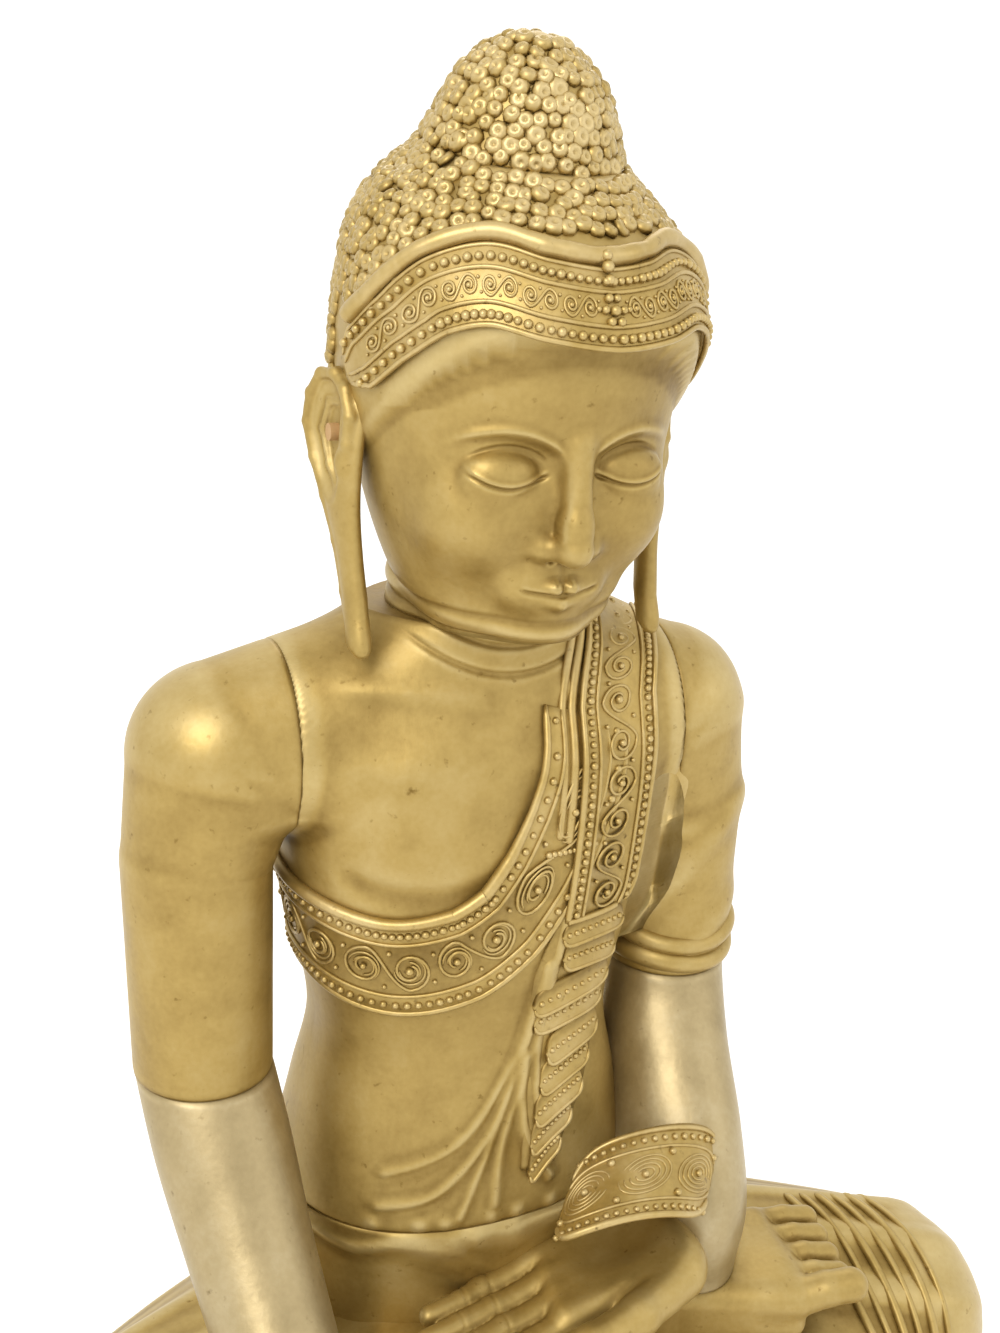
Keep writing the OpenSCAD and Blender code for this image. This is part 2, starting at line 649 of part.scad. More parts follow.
module ear(side) {
    x0 = glide(CAP, 0, 1) * hair_w / 2 - 2;
    rings = [for (t = [1, 0.98, 0.95, 0.9, 0.8, 0.7, 0.6, 0.5, 0.4, 0.3, 0.2, 0.12, 0.06, 0.02, 0])
        [for (i = [0:13]) let (a = side * i * 360 / 14)
            [side * (x0 + glide(EAR, t, 2) + glide(EAR, t, 4) * sin(side * a)
                     + EAR_FLARE * (1 - t) * glide(EAR, t, 3) * cos(a)),
             glide(EAR, t, 1) + glide(EAR, t, 3) * cos(a), ear_top_h - t * ear_len]]];
    on_head() skin(side > 0 ? rings : [for (r = rings) [for (i = [13:-1:0]) r[i]]]);
}

module ear_peg_set(gap) {
    on_head() for (s = [-1, 1]) peg([s * (hair_w / 2 - 4), -2, -26], [1, 0, 0], peg_d, peg_len * 0.6, gap);
}

module ear_pegs() {
    color(WOOD) ear_peg_set(0);
}

module right_ear() {
    color(GOLD) difference() {
        ear(-1);
        ear_peg_set(dowel_gap);
    }
}

module left_ear() {
    color(GOLD) difference() {
        ear(1);
        ear_peg_set(dowel_gap);
    }
}

// ---- robe borders ------------------------------------------------------------------------------
// the trunk's skin at an angle from the front, at a height
function trunk_point(a, z, out) =
    let (o = [0, body_y, z], d = [sin(a), -cos(a), 0])
    o + d * (reach(trunk_skin, o, d, 170) + out);

// angle from the front, height of the border's middle line over the waist seam
BORDER = [[-225, 350], [-180, 262], [-150, 226], [-115, 200], [-80, 193], [-48, 184], [-21, 193], [-4, 212],
          [8, 240], [18, 276], [26, 320]];
function border_point(a, v, out) =
    let (m = trunk_share * glide(BORDER, a, 1),
         slope = trunk_share * (glide(BORDER, a + 2, 1) - glide(BORDER, a - 2, 1)) / (4 * PI / 180 * 105),
         k = 1 / sqrt(1 + slope * slope), w = v * border_w / 2)
    trunk_point(a - w * slope * k * 180 / PI / 105, seam_h + m + w * k, out);

// the rows of the border, the panel and the pleats are laid out on a trunk of this height
trunk_share = trunk_h / 396;

BORDER_START = -214;
BORDER_STOP = 16;
module chest_border() {
    color(GOLD) strip(function(s, v, o) border_point(s, v, o), BORDER_STOP, BORDER_START, 44, strip_t);
}

module chest_border_cords() {
    color(GOLD) for (v = [-1, -0.58, 0.58, 1])
        cord_on(function(s, v, o) border_point(s, v, o), BORDER_START, BORDER_STOP, 30, v, strip_t,
                v == 1 ? 3.5 : 1.8, 5);
}

module chest_border_beads() {
    n = floor((BORDER_STOP - BORDER_START) * PI / 180 * 112 / (bead_d * 1.4));
    color(GOLD) for (v = [-0.79, 0.79], i = [0:n])
        translate(border_point(mix(BORDER_START, BORDER_STOP, i / n), v, strip_t + 0.6))
            sphere(d = bead_d, $fn = 16);
}

module chest_border_scrolls() {
    n = 15;
    color(GOLD) for (i = [0:n - 1], k = [-1, 1]) {
        a = mix(BORDER_START + 6, BORDER_STOP - 6, (i + (k + 1) / 4) / (n - 0.5));
        p = border_point(a, 0.22 * k, strip_t);
        volute(p, [p.x, p.y - body_y, 0], 8);
        volute(p, [p.x, p.y - body_y, 0], 4);
    }
}

// panel over the left shoulder: length along its middle line, from the chest up and over
PANEL_X = 62;
PANEL_FOOT = 206;
PANEL_LEN = 256;
PANEL_ARC = 136;
// how far the panel leans outwards up the chest, and then beside the neck
PANEL_LEAN = [10, 24];
neck_skin = function(p) max(body_form(p), p.z - neck_z);
// the panel runs up the chest, then bends back over the shoulder
function panel_point(s, v, out) =
    let (up = min(s, PANEL_ARC), over = max(s - PANEL_ARC, 0) / (PANEL_LEN - PANEL_ARC),
         x = PANEL_X + PANEL_LEAN[0] * up / PANEL_ARC + PANEL_LEAN[1] * over + v * panel_w / 2,
         o = [x, body_y, seam_h + trunk_share * (PANEL_FOOT + up)],
         e = 95 * over, d = [0, -cos(e), sin(e)])
    o + d * (reach(neck_skin, o, d, 170) + out);

module shoulder_panel() {
    color(GOLD) strip(function(s, v, o) panel_point(s, v, o), 0, PANEL_LEN, 26, strip_t + 2);
}

module shoulder_panel_cords() {
    color(GOLD) for (v = [-0.96, -0.6, 0.6, 0.96])
        cord_on(function(s, v, o) panel_point(s, v, o), 2, PANEL_LEN, 22, v, strip_t + 2, 1.8, 5);
}

module shoulder_panel_beads() {
    n = floor(PANEL_LEN / (bead_d * 1.4));
    color(GOLD) for (v = [-0.78, 0.78], i = [0:n])
        translate(panel_point(PANEL_LEN * (i + 0.3) / (n + 1), v, strip_t + 2.4))
            sphere(d = bead_d, $fn = 16);
}

module shoulder_panel_scrolls() {
    n = 9;
    color(GOLD) for (i = [0:n - 1]) {
        s = PANEL_LEN * (i + 0.5) / n;
        p = panel_point(s, i % 2 == 0 ? -0.14 : 0.14, strip_t + 2);
        over = 95 * max(s - PANEL_ARC, 0) / (PANEL_LEN - PANEL_ARC);
        volute(p, [0, -cos(over), sin(over)], 8);
        volute(p, [0, -cos(over), sin(over)], 4);
    }
}

// zigzag hems: cloth layers below the panel, each a rounded ridge that turns back on itself
PLEATS = [[190, 30, 82], [168, 74, 24], [144, 22, 76], [119, 66, 18], [95, 16, 66], [72, 54, 18]];
module shawl_pleats() {
    color(GOLD) for (k = [0:len(PLEATS) - 1])
        skin(tube_rings([for (i = [0:6])
            let (x = mix(PLEATS[k][1], PLEATS[k][2], i / 6),
                 z = seam_h + trunk_share * PLEATS[k][0] - 8 * i / 6, o = [x, body_y, z])
            o + [0, -1, 0] * (reach(body_skin, o, [0, -1, 0], 170) + 3)], 6, 8));
}

// ---- cuff, sleeve and hem folds ----------------------------------------------------------------
// the cuff is a rounded sheet over the left wrist: u along the forearm, v across it
function cuff_point(u, v, out) =
    let (a = mix(-64, 58, v), c = mix([112, 0, 311], [66, -50, 287], u), r = 38 + 4 * u,
         n = [-0.25 + 0.55 * sin(a), -0.80 * cos(a), 0.58 * cos(a) - 0.35 * sin(a)])
    c + [sin(a) * 46, 0, 26 * cos(a) - 26] + n * (r * 0.6 + out);

module cuff_panel() {
    color(GOLD) skin([for (i = [0:16]) let (v = i / 16)
        [cuff_point(0, v, -3), cuff_point(1, v, -3), cuff_point(1, v, 2), cuff_point(0.9, v, 3.5),
         cuff_point(0.1, v, 3.5), cuff_point(0, v, 2)]]);
}

module cuff_cords() {
    color(GOLD) for (u = [0.04, 0.24, 0.96])
        skin(tube_rings([for (i = [0:14]) cuff_point(u, 0.03 + 0.94 * i / 14, 3.2)], 2, 5));
}

module cuff_scrolls() {
    color(GOLD) for (v = [0.2, 0.5, 0.8]) {
        p = cuff_point(0.6, v, 2.6);
        n = cross(cuff_point(0.7, v, 0) - cuff_point(0.5, v, 0),
                  cuff_point(0.6, v - 0.05, 0) - cuff_point(0.6, v + 0.05, 0));
        volute(p, n.y < 0 ? n : -n, 12);
        volute(p, n.y < 0 ? n : -n, 7);
    }
}

// two rolls of cloth round the left elbow
module sleeve_rolls() {
    color(GOLD) for (k = [0, 1])
        translate(left_elbow + [0, 0, 14 + 15 * k]) rotate([6, -4, 0])
            rotate_extrude($fn = 48) translate([elbow_r - 1, 0]) circle(d = 14, $fn = 24);
}

// robe hem over the shins: three ridges round each leg below the knee
module leg_folds() {
    color(GOLD) for (s = [-1, 1], k = [0:2])
        skin(tube_rings([for (i = [0:12])
            let (a = mix(-16, 96, i / 12), x = s * (knee_span / 2 - 150 + 16 * k),
                 o = [x, 10, 70], d = unit([s * 0.12, -cos(a), sin(a)]))
            o + d * reach(function(p) leg_form(p), o, d, 300)], 3.5, 6));
}

// ---- show --------------------------------------------------------------------------------------
lap_block();
trunk();
head();
topknot();
right_ear();
left_ear();
right_upper_arm();
left_upper_arm();
right_forearm();
left_forearm();
right_hand();
left_hand();
right_foot();
left_foot();
waist_dowels();
neck_dowel();
topknot_dowel();
shoulder_dowels();
elbow_dowels();
wrist_dowels();
ear_pegs();
foot_pegs();
head_curls();
topknot_curls();
hair_band();
hair_band_roll();
hair_band_cords();
hair_band_beads();
hair_band_scrolls();
hair_band_flower();
chest_border();
chest_border_cords();
chest_border_beads();
chest_border_scrolls();
shoulder_panel();
shoulder_panel_cords();
shoulder_panel_beads();
shoulder_panel_scrolls();
shawl_pleats();
cuff_panel();
cuff_cords();
cuff_scrolls();
sleeve_rolls();
leg_folds();
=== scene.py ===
import bpy
import numpy as np
from mathutils import Matrix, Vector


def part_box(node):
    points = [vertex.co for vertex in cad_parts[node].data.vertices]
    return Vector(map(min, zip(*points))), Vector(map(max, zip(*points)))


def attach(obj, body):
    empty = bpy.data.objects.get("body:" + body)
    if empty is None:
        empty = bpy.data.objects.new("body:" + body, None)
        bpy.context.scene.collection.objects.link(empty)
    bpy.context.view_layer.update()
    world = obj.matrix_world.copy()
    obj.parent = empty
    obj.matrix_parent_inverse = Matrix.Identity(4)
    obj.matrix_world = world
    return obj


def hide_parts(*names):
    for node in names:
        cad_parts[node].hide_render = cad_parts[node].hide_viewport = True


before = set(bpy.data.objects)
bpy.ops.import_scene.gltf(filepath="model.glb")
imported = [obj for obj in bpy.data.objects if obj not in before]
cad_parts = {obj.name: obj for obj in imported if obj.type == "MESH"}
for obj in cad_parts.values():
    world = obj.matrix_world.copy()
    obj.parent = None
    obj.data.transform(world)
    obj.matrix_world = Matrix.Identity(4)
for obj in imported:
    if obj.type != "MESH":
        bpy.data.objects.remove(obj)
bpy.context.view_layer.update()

MM = 0.001


# ---- Lap block ---------------------------------------------------------------------------------
# The crossed legs: one block of carved wood with a flat underside, primed, puttied and painted.
# The robe's folds are cut into the wood; the trunk stands on it on two dowels.
def frame_box(node):
    """Lowest and highest corner of a block of the frame, in millimetres."""
    return [np.array(c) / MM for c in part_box(node)]


def glide(rows, t):
    """Catmull-Rom curve through rows of [t, value ...]: one array of values for each column."""
    rows, t = np.asarray(rows, float), np.asarray(t, float)
    n = len(rows)
    i = np.clip(np.searchsorted(rows[:, 0], t, side="right") - 1, 0, n - 2)
    u = np.clip((t - rows[i, 0]) / (rows[i + 1, 0] - rows[i, 0]), 0, 1)[..., None]
    p0, p1, p2, p3 = (rows[np.clip(i + k, 0, n - 1), 1:] for k in (-1, 0, 1, 2))
    v = p1 + 0.5 * u * (p2 - p0 + u * (2 * p0 - 5 * p1 + 4 * p2 - p3 + u * (3 * p1 - p0 - 3 * p2 + p3)))
    return np.moveaxis(v, -1, 0)


def mix(a, b, t):
    return a + (b - a) * t


def ease(a, b, t):
    """0 below a, 1 above b, smooth between them."""
    u = np.clip((t - a) / (b - a), 0, 1)
    return u * u * (3 - 2 * u)


def hump(t, width):
    """exp(-(t / width)^2): one soft ridge round t = 0."""
    return np.exp(-(t / width) ** 2)


def join(a, b, k):
    """The smaller of two distances with a fillet of size k."""
    return np.minimum(a, b) - np.maximum(k - np.abs(a - b), 0) ** 2 / (4 * k)


def cut(a, b, k):
    """The larger of two distances, its edge rounded by k."""
    return -join(-a, -b, k)


def size(v):
    return np.sqrt(np.einsum("...i,...i", v, v))


def unit(v):
    return v / np.maximum(size(v), 1e-9)[..., None]


def rod(p, a, b, ra, rb):
    """Distance to the rod from a to b: |p - a - h (b - a)| - (ra + h (rb - ra)), 0 <= h <= 1."""
    a, b = np.asarray(a, float), np.asarray(b, float)
    h = np.clip((p - a) @ (b - a) / ((b - a) @ (b - a)), 0, 1)
    return size(p - a - h[..., None] * (b - a)) - mix(ra, rb, h)


def egg(p, centre, radii):
    """Distance to an egg, near its skin: (|q| - 1) |q| / |q / radii|, q = (p - centre) / radii."""
    q = (p - np.asarray(centre, float)) / radii
    n = size(q)
    return (n - 1) * n / np.maximum(size(q / radii), 1e-9)


def cast(form, eye, way, far, steps=64):
    """Points where rays from eye along way leave the form: r <- r - 1.1 form(eye + r way)."""
    far = np.broadcast_to(far, way.shape[:-1])
    r = np.zeros(way.shape[:-1])
    for _ in range(steps):
        r = np.clip(r - 1.1 * form(eye + way * r[..., None]), 0, far)
    return eye + way * r[..., None]


def normals(p):
    """Unit normals of a grid of rows of closed rings: d row x d column, facing off its middle."""
    along = np.gradient(p, axis=0)
    n = unit(np.cross(np.roll(p, -1, 1) - np.roll(p, 1, 1), along))
    middle = p.mean(1, keepdims=True)
    return n if np.sum(n * (p - middle)) > 0 else -n


def hollow_shade_and_ridge_wear(p, n, reach=3, depth=0.6):
    """Tone of the paint, -1 in hollows to 1 on ridges: how far the skin stands off its own mean. The low end
    darkens the hollows as painted shade; the high end is the paler rubbed paint on the ridges.
    """
    pad = np.concatenate([p[:1]] * reach + [p] + [p[-1:]] * reach)
    mean = (pad[2 * reach:] + pad[:-2 * reach] + np.roll(p, reach, 1) + np.roll(p, -reach, 1)) / 4
    return np.clip(np.sum((p - mean) * n, -1) / depth - 0.25, -1, 1)


def solid(p, tone=0.0):
    """Closed skin over a grid of rings: four-sided faces between rings and a flat face on each end."""
    m, n = p.shape[:2]
    i = np.arange(m * n).reshape(m, n)
    j = np.roll(i, -1, 1)
    quads = np.stack([i[:-1], j[:-1], j[1:], i[1:]], -1).reshape(-1, 4)
    return p.reshape(-1, 3), quads, np.array([i[0][::-1], i[-1]]), np.broadcast_to(tone, (m, n)).ravel()


def outward(v, quads, caps):
    """Turns all faces over if the volume they close, sum of p . (q x r) / 6, is below zero."""
    a, b, c, d = (v[quads[:, k]] for k in range(4))
    if np.sum(a * np.cross(b, c)) + np.sum(a * np.cross(c, d)) < 0:
        quads = quads[:, ::-1]
        caps = caps[:, ::-1] if len(caps) else caps
    return quads, caps


def make(name, shells, material, nodes):
    """One object from closed shells (points, quads, end faces, tones), in millimetres."""
    points, faces, tones, flat, base = [], [], [], [], 0
    for v, quads, caps, tone in shells:
        quads, caps = outward(v - v.mean(0), quads, caps)
        points.append(v)
        tones.append(tone)
        faces += (quads + base).tolist() + (caps + base).tolist()
        flat += [True] * len(quads) + [len(caps[0]) < 16 if len(caps) else True] * len(caps)
        base += len(v)
    mesh = bpy.data.meshes.new(name)
    mesh.from_pydata((np.concatenate(points) * MM).tolist(), [], faces)
    mesh.polygons.foreach_set("use_smooth", flat)
    # tone per point: painted shade in hollows and where parts sit on others, paler rubbed ridges, darker seam
    # joints
    mesh.attributes.new("tone", "FLOAT", "POINT").data.foreach_set(
        "value", np.concatenate(tones).astype(np.float32))
    mesh.materials.append(material)
    mesh.update()
    piece = bpy.data.objects.new(name, mesh)
    bpy.context.scene.collection.objects.link(piece)
    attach(piece, "root")
    if nodes:
        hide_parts(*nodes)
    return piece


class Wire:
    """A socket of a material; + - * / ** with sockets or numbers add Math nodes."""

    def __init__(self, tree, socket):
        self.tree, self.socket = tree, socket

    def node(self, kind, settings=None, values=None, out=0):
        """Adds a node, sets its settings and links or sets its inputs."""
        n = self.tree.nodes.new("ShaderNode" + kind)
        for key, value in (settings or {}).items():
            setattr(n, key, value)
        for key, value in (values or {}).items():
            if isinstance(value, Wire):
                self.tree.links.new(value.socket, n.inputs[key])
            else:
                n.inputs[key].default_value = value
        return Wire(self.tree, n.outputs[out])

    def maths(self, what, a, b=0.0):
        return self.node("Math", {"operation": what}, {0: a, 1: b})

    def __add__(self, b): return self.maths("ADD", self, b)
    def __radd__(self, b): return self.maths("ADD", b, self)
    def __sub__(self, b): return self.maths("SUBTRACT", self, b)
    def __rsub__(self, b): return self.maths("SUBTRACT", b, self)
    def __mul__(self, b): return self.maths("MULTIPLY", self, b)
    def __rmul__(self, b): return self.maths("MULTIPLY", b, self)
    def __truediv__(self, b): return self.maths("DIVIDE", self, b)
    def __rtruediv__(self, b): return self.maths("DIVIDE", b, self)
    def __pow__(self, b): return self.maths("POWER", self, b)
    def __rpow__(self, b): return self.maths("POWER", b, self)
    def __neg__(self): return self.maths("MULTIPLY", self, -1.0)

    def clamp(self):
        return self.node("Clamp", {}, {"Value": self})

    def noise(self, scale, detail=4.0, stretch=(1, 1, 1)):
        """Noise over the figure, features about 1 / scale metres wide, drawn out by stretch."""
        at = self.node("Mapping", {}, {"Vector": self, "Scale": stretch})
        return self.node("TexNoise", {}, {"Vector": at, "Scale": scale, "Detail": detail})

    def mixed(self, a, b):
        """Colour a where this is 0, colour b where it is 1."""
        return self.node("Mix", {"data_type": "RGBA"}, {"Factor": self, 6: a, 7: b}, 2)


METAL, BRUSH = 0.62, 0.35


def paint(name, dark, mid, light, rough, shine):
    """Hand-laid metal paint: darker in hollows and where parts sit on others, as painted shade, paler where
    it is rubbed, with brush drag.
    """
    material = bpy.data.materials.new(name)
    material.use_nodes = True
    tree = material.node_tree
    shader = tree.nodes["Principled BSDF"]
    shader.inputs["Metallic"].default_value = METAL
    shader.inputs["Coat Weight"].default_value = shine
    shader.inputs["Coat Roughness"].default_value = 0.22
    start = Wire(tree, None)
    at = start.node("TexCoord", out=3)
    tone = start.node("Attribute", {"attribute_name": "tone"}, out=2)
    broad, cloud, fine = at.noise(9, 5), at.noise(38, 6), at.noise(260, 3)
    drag = at.noise(120, 4, (1, 1, 0.16))
    # the tone lays the dark colour in as painted shade in hollows and under parts, and the light one on
    # rubbed ridges; the noises vary the paint at random
    level = tone * 0.42 + (broad - 0.5) * 1.0 + (cloud - 0.5) * 0.9 + (fine - 0.5) * 0.35
    low, high = (-level * 1.25).clamp(), (level * 0.95).clamp()
    colour = high.mixed(low.mixed((*mid, 1), (*dark, 1)), (*light, 1))
    speck = ((at.noise(150, 5) - 0.66) * 7).clamp()
    colour = speck.mixed(colour, (*dark, 1))
    bump = cloud * 0.9 + drag * 0.5 + fine * 0.25
    tilt = start.node("Bump", {}, {"Strength": BRUSH, "Distance": 0.0012, "Height": bump})
    tree.links.new(colour.socket, shader.inputs["Base Color"])
    tree.links.new((rough + (cloud - 0.5) * 0.3 - tone * 0.05).clamp().socket, shader.inputs["Roughness"])
    tree.links.new(tilt.socket, shader.inputs["Normal"])
    return material


# Each paint: dark is the paint as it looks in shade, laid in by the tone as painted shade and at random by
# noise and specks; mid is its gold, light the paler gold of rubbed paint.
CARVED = paint("carved_gold", (0.19, 0.118, 0.025), (0.385, 0.276, 0.094), (0.56, 0.45, 0.23), 0.47, 0.08)
PUTTY = paint("putty_gold", (0.13, 0.078, 0.016), (0.40, 0.285, 0.096), (0.66, 0.54, 0.31), 0.44, 0.08)
WORN = paint("worn_gold", (0.22, 0.165, 0.075), (0.385, 0.305, 0.165), (0.60, 0.52, 0.36), 0.42, 0.1)

LAP_HIGH = frame_box("lap_block")[1]
SEAM_Z = LAP_HIGH[2]
KNEE_R, HIP_R, BODY_Y, SQUARE = 80, 98, 97, 2.3


def power_oval(x, y, a, front, back, square=SQUARE):
    """Distance to an oval |x/a|^n + |y/d|^n = 1 whose depth d differs in front and behind."""
    d = np.where(y < 0, front, back)
    q = (np.abs(x / a) ** square + np.abs(y / d) ** square) ** (1 / square)
    return (q - 1) * np.minimum(a, d)


def leg_form(p):
    """Thighs, seat, shins and the flat sole plate, joined with fillets."""
    x, y, z = p[..., 0], p[..., 1], p[..., 2]
    kx, front = LAP_HIGH[0] + 1 - KNEE_R, -LAP_HIGH[1] - 1
    knee, hip = np.array([kx, 6, KNEE_R]), np.array([92, BODY_Y + 5, HIP_R])
    flip = np.array([-1, 1, 1])
    thigh = np.minimum(rod(p, hip * flip, knee * flip, HIP_R, KNEE_R), rod(p, hip, knee, HIP_R, KNEE_R))
    seat = np.maximum(power_oval(x, y - BODY_Y, 125, 100, 92), z - SEAM_Z - 40)
    core = egg(p, (0, 10, 50), np.array([300, LAP_HIGH[1] - 29, 116]))
    shin = np.minimum(rod(p, (-kx + 4, -6, KNEE_R - 2), (30, front + 78, 108), KNEE_R - 4, 50),
                      rod(p, (kx - 4, -6, KNEE_R - 6), (-70, front + 60, 58), KNEE_R - 8, 56))
    sole = np.hypot(x / (LAP_HIGH[0] - 25), y / (LAP_HIGH[1] - 5)) - 1
    sole = np.maximum(sole * LAP_HIGH[1], z - 46)
    return join(join(np.minimum(np.minimum(thigh, seat), core), shin, 18), sole, 30)


def lap_relief(p):
    """Height of the robe's folds over the legs: rounded ridges that fan from the hips to the knees,
    a hem that lies in waves round the foot of the block, and a lip under the waist seam."""
    x, y, z = p[..., 0], p[..., 1], p[..., 2]
    side = np.abs(x)
    turn_ = np.arctan2(z - 60, 60 - y)
    sweep = turn_ * 2.6 + 0.0042 * side + 0.25 * np.sin(side / 61 + np.sign(x))
    ridge = (0.5 + 0.5 * np.cos(2 * np.pi * sweep)) ** 2.5
    folds = 3.2 * ridge * ease(120, 210, side) * ease(30, 60, z) * (1 - ease(372, 412, side))
    hem = 2.6 * hump(z - 36 - 7 * np.sin(x / 33) - 4 * np.sin(x / 15 + y / 21), 5)
    lip = 3.5 * hump(z - SEAM_Z + 12 + 3 * np.sin(x / 9), 4) * ease(-260, -150, -side)
    return folds + hem + lip


def eye_rows(form, eye, turns, low_z, high_z, count):
    """Rays from an eye point, their tilt running from the form's edge at low_z to that at high_z."""
    level = np.stack([np.cos(turns), np.sin(turns), 0 * turns], -1)
    low = size(cast(form, eye * [1, 1, 0] + [0, 0, low_z], level, 700)[..., :2] - eye[:2])
    high = size(cast(form, eye * [1, 1, 0] + [0, 0, high_z], level, 700)[..., :2] - eye[:2])
    t = np.linspace(0, 1, count)[:, None]
    tilt = mix(np.arctan2(low_z - eye[2], low), np.arctan2(high_z - eye[2], high), t)[..., None]
    return level * np.cos(tilt) + [0, 0, 1] * np.sin(tilt)


lap_eye = np.array([0.0, 20.0, 70.0])
lap_turns = np.linspace(0, 2 * np.pi, 480, endpoint=False)
lap_ways = eye_rows(leg_form, lap_eye, lap_turns, 0.0, SEAM_Z, 200)
lap = cast(leg_form, lap_eye, lap_ways, 600)
lap[0, :, 2], lap[-1, :, 2] = 0, SEAM_Z
lap_out = normals(lap)
lap[1:-1] += (lap_out * lap_relief(lap)[..., None])[1:-1]
lap[..., 2] = np.clip(lap[..., 2], 0, SEAM_Z)
make("lap_block_carving", [solid(lap, hollow_shade_and_ridge_wear(lap, normals(lap)))], CARVED, ["lap_block"])


# ---- Trunk -------------------------------------------------------------------------------------
# Belly, chest and the middle of the shoulders in one block of carved wood, painted over.
# It ends flat at the waist, at both shoulder seams and at the neck, where dowels hold it.
trunk_high = frame_box("trunk")[1]
NECK_Z = trunk_high[2]
SHOULDER_Z, CHEST_Z, WAIST_Z = NECK_Z - 86, SEAM_Z + 252, SEAM_Z + 117
SEAM_X = trunk_high[0]
SHOULDER_X, ELBOW_X, ARMS_X = 155.0, 169.0, -9.0
RIGHT_ELBOW_Z = frame_box("right_upper_arm")[0][2]
LEFT_ELBOW_Z = frame_box("left_upper_arm")[0][2]
# height, half width, front depth, back depth
TRUNK = [[SEAM_Z, 125, 100, 92], [SEAM_Z + 58, 114, 92, 84], [WAIST_Z, 103, 82, 74],
         [(WAIST_Z + CHEST_Z) / 2, 115.65, 86, 80], [CHEST_Z, 126, 88, 86], [SHOULDER_Z, 130, 82, 84],
         [NECK_Z - 38, 96, 64, 74], [NECK_Z, 64, 64, 60]]


def trunk_form(p):
    """Stack of ovals whose width and depths glide through the rows of TRUNK."""
    a, front, back = glide(TRUNK, p[..., 2])
    return power_oval(p[..., 0], p[..., 1] - BODY_Y, a, front, back)


def arm_form(p, side, elbow_z):
    """Upper arm and the yoke from the neck to the shoulder, as three rods."""
    s = np.array([ARMS_X + side * SHOULDER_X, BODY_Y + 4, SHOULDER_Z])
    m = np.array([ARMS_X + side * (ELBOW_X + 2), BODY_Y - 2, SHOULDER_Z - 64])
    e = np.array([ARMS_X + side * ELBOW_X, BODY_Y - 10, elbow_z - 40])
    upper = np.minimum(rod(p, s, m, 56, 46), rod(p, m, e, 46, 43))
    return np.minimum(upper, rod(p, (side * 36, BODY_Y + 6, NECK_Z - 30), s, 36, 56))


def body_form(p, of_arm=False):
    """Trunk and arms; they grow together only above the armpits, which lie 45 mm lower on the left.
    Below them the trunk (or with of_arm the arm) is kept and the other part moved 60 mm away."""
    arms = np.minimum(arm_form(p, -1, RIGHT_ELBOW_Z), arm_form(p, 1, LEFT_ELBOW_Z))
    lower = 45 * (p[..., 0] > 0)
    apart = 60 * (1 - ease(SHOULDER_Z - 78, SHOULDER_Z - 30, p[..., 2] + lower))
    return join(trunk_form(p) + apart * of_arm, arms + apart * (not of_arm), 34)


def near(x, z, path):
    """Distance from (x, z) to a smooth curve through the points of path."""
    rows = [[k, *point] for k, point in enumerate(path)]
    px, pz = glide(rows, np.linspace(0, len(path) - 1, 28 * len(path)))
    return np.sqrt(np.min((x[..., None] - px) ** 2 + (z[..., None] - pz) ** 2, -1))


# thin folds of the robe over the belly and long ones beside the shawl: x, height over the seam,
# then the height and the half width of the ridge
BELLY_FOLDS = [([(16, 146), (2, 106), (-32, 62), (-80, 40)], 1.5, 2.6),
               ([(14, 128), (-12, 66), (-48, 28), (-84, 17)], 1.6, 2.6),
               ([(12, 112), (-14, 54), (-34, 8)], 1.4, 2.4),
               ([(22, 176), (12, 116), (12, 62), (30, 24)], 3.4, 3.6),
               ([(38, 232), (27, 164), (20, 92), (28, 44)], 4.2, 4.6),
               ([(24, 178), (18, 120), (-4, 58), (-10, 14)], 1.8, 3.2)]


def trunk_relief(p):
    """Collar bones, the hollow between the breasts, the fold under the bare breast, the neck's
    lowest creases, the folds of thin cloth over the belly and lumps of filler along the seam."""
    x, y, z = p[..., 0], p[..., 1], p[..., 2]
    front = ease(-20, 40, BODY_Y - y)
    side = np.abs(x)
    bones = 2.2 * hump(z - 622 - 0.10 * (side - 40), 7) * ease(16, 34, side) * ease(-120, -90, -side)
    hollow = -2.0 * hump(x - 4, 13) * ease(470, 520, z) * (1 - ease(580, 620, z))
    breast = -2.2 * hump(z - 500 - 0.006 * (x + 62) ** 2, 9) * ease(-112, -96, x) * (1 - ease(-34, -8, x))
    folds = sum(high * hump(near(x, z - SEAM_Z, path), wide) for path, high, wide in BELLY_FOLDS)
    creases = sum(-1.9 * hump(z - NECK_Z + drop - 0.006 * x ** 2, 2.4) for drop in (13, 31))
    lumps = sum(1.7 * hump(np.hypot(x - at, z - SEAM_Z - 5), 4.5) for at in (-88, -60, -43, -12, 6, 31, 58))
    return front * (bones + hollow + breast + folds + creases * ease(-70, -50, -side) + lumps)


def trunk_cut(p):
    return cut(body_form(p), np.abs(p[..., 0]) - SEAM_X, 0.8)


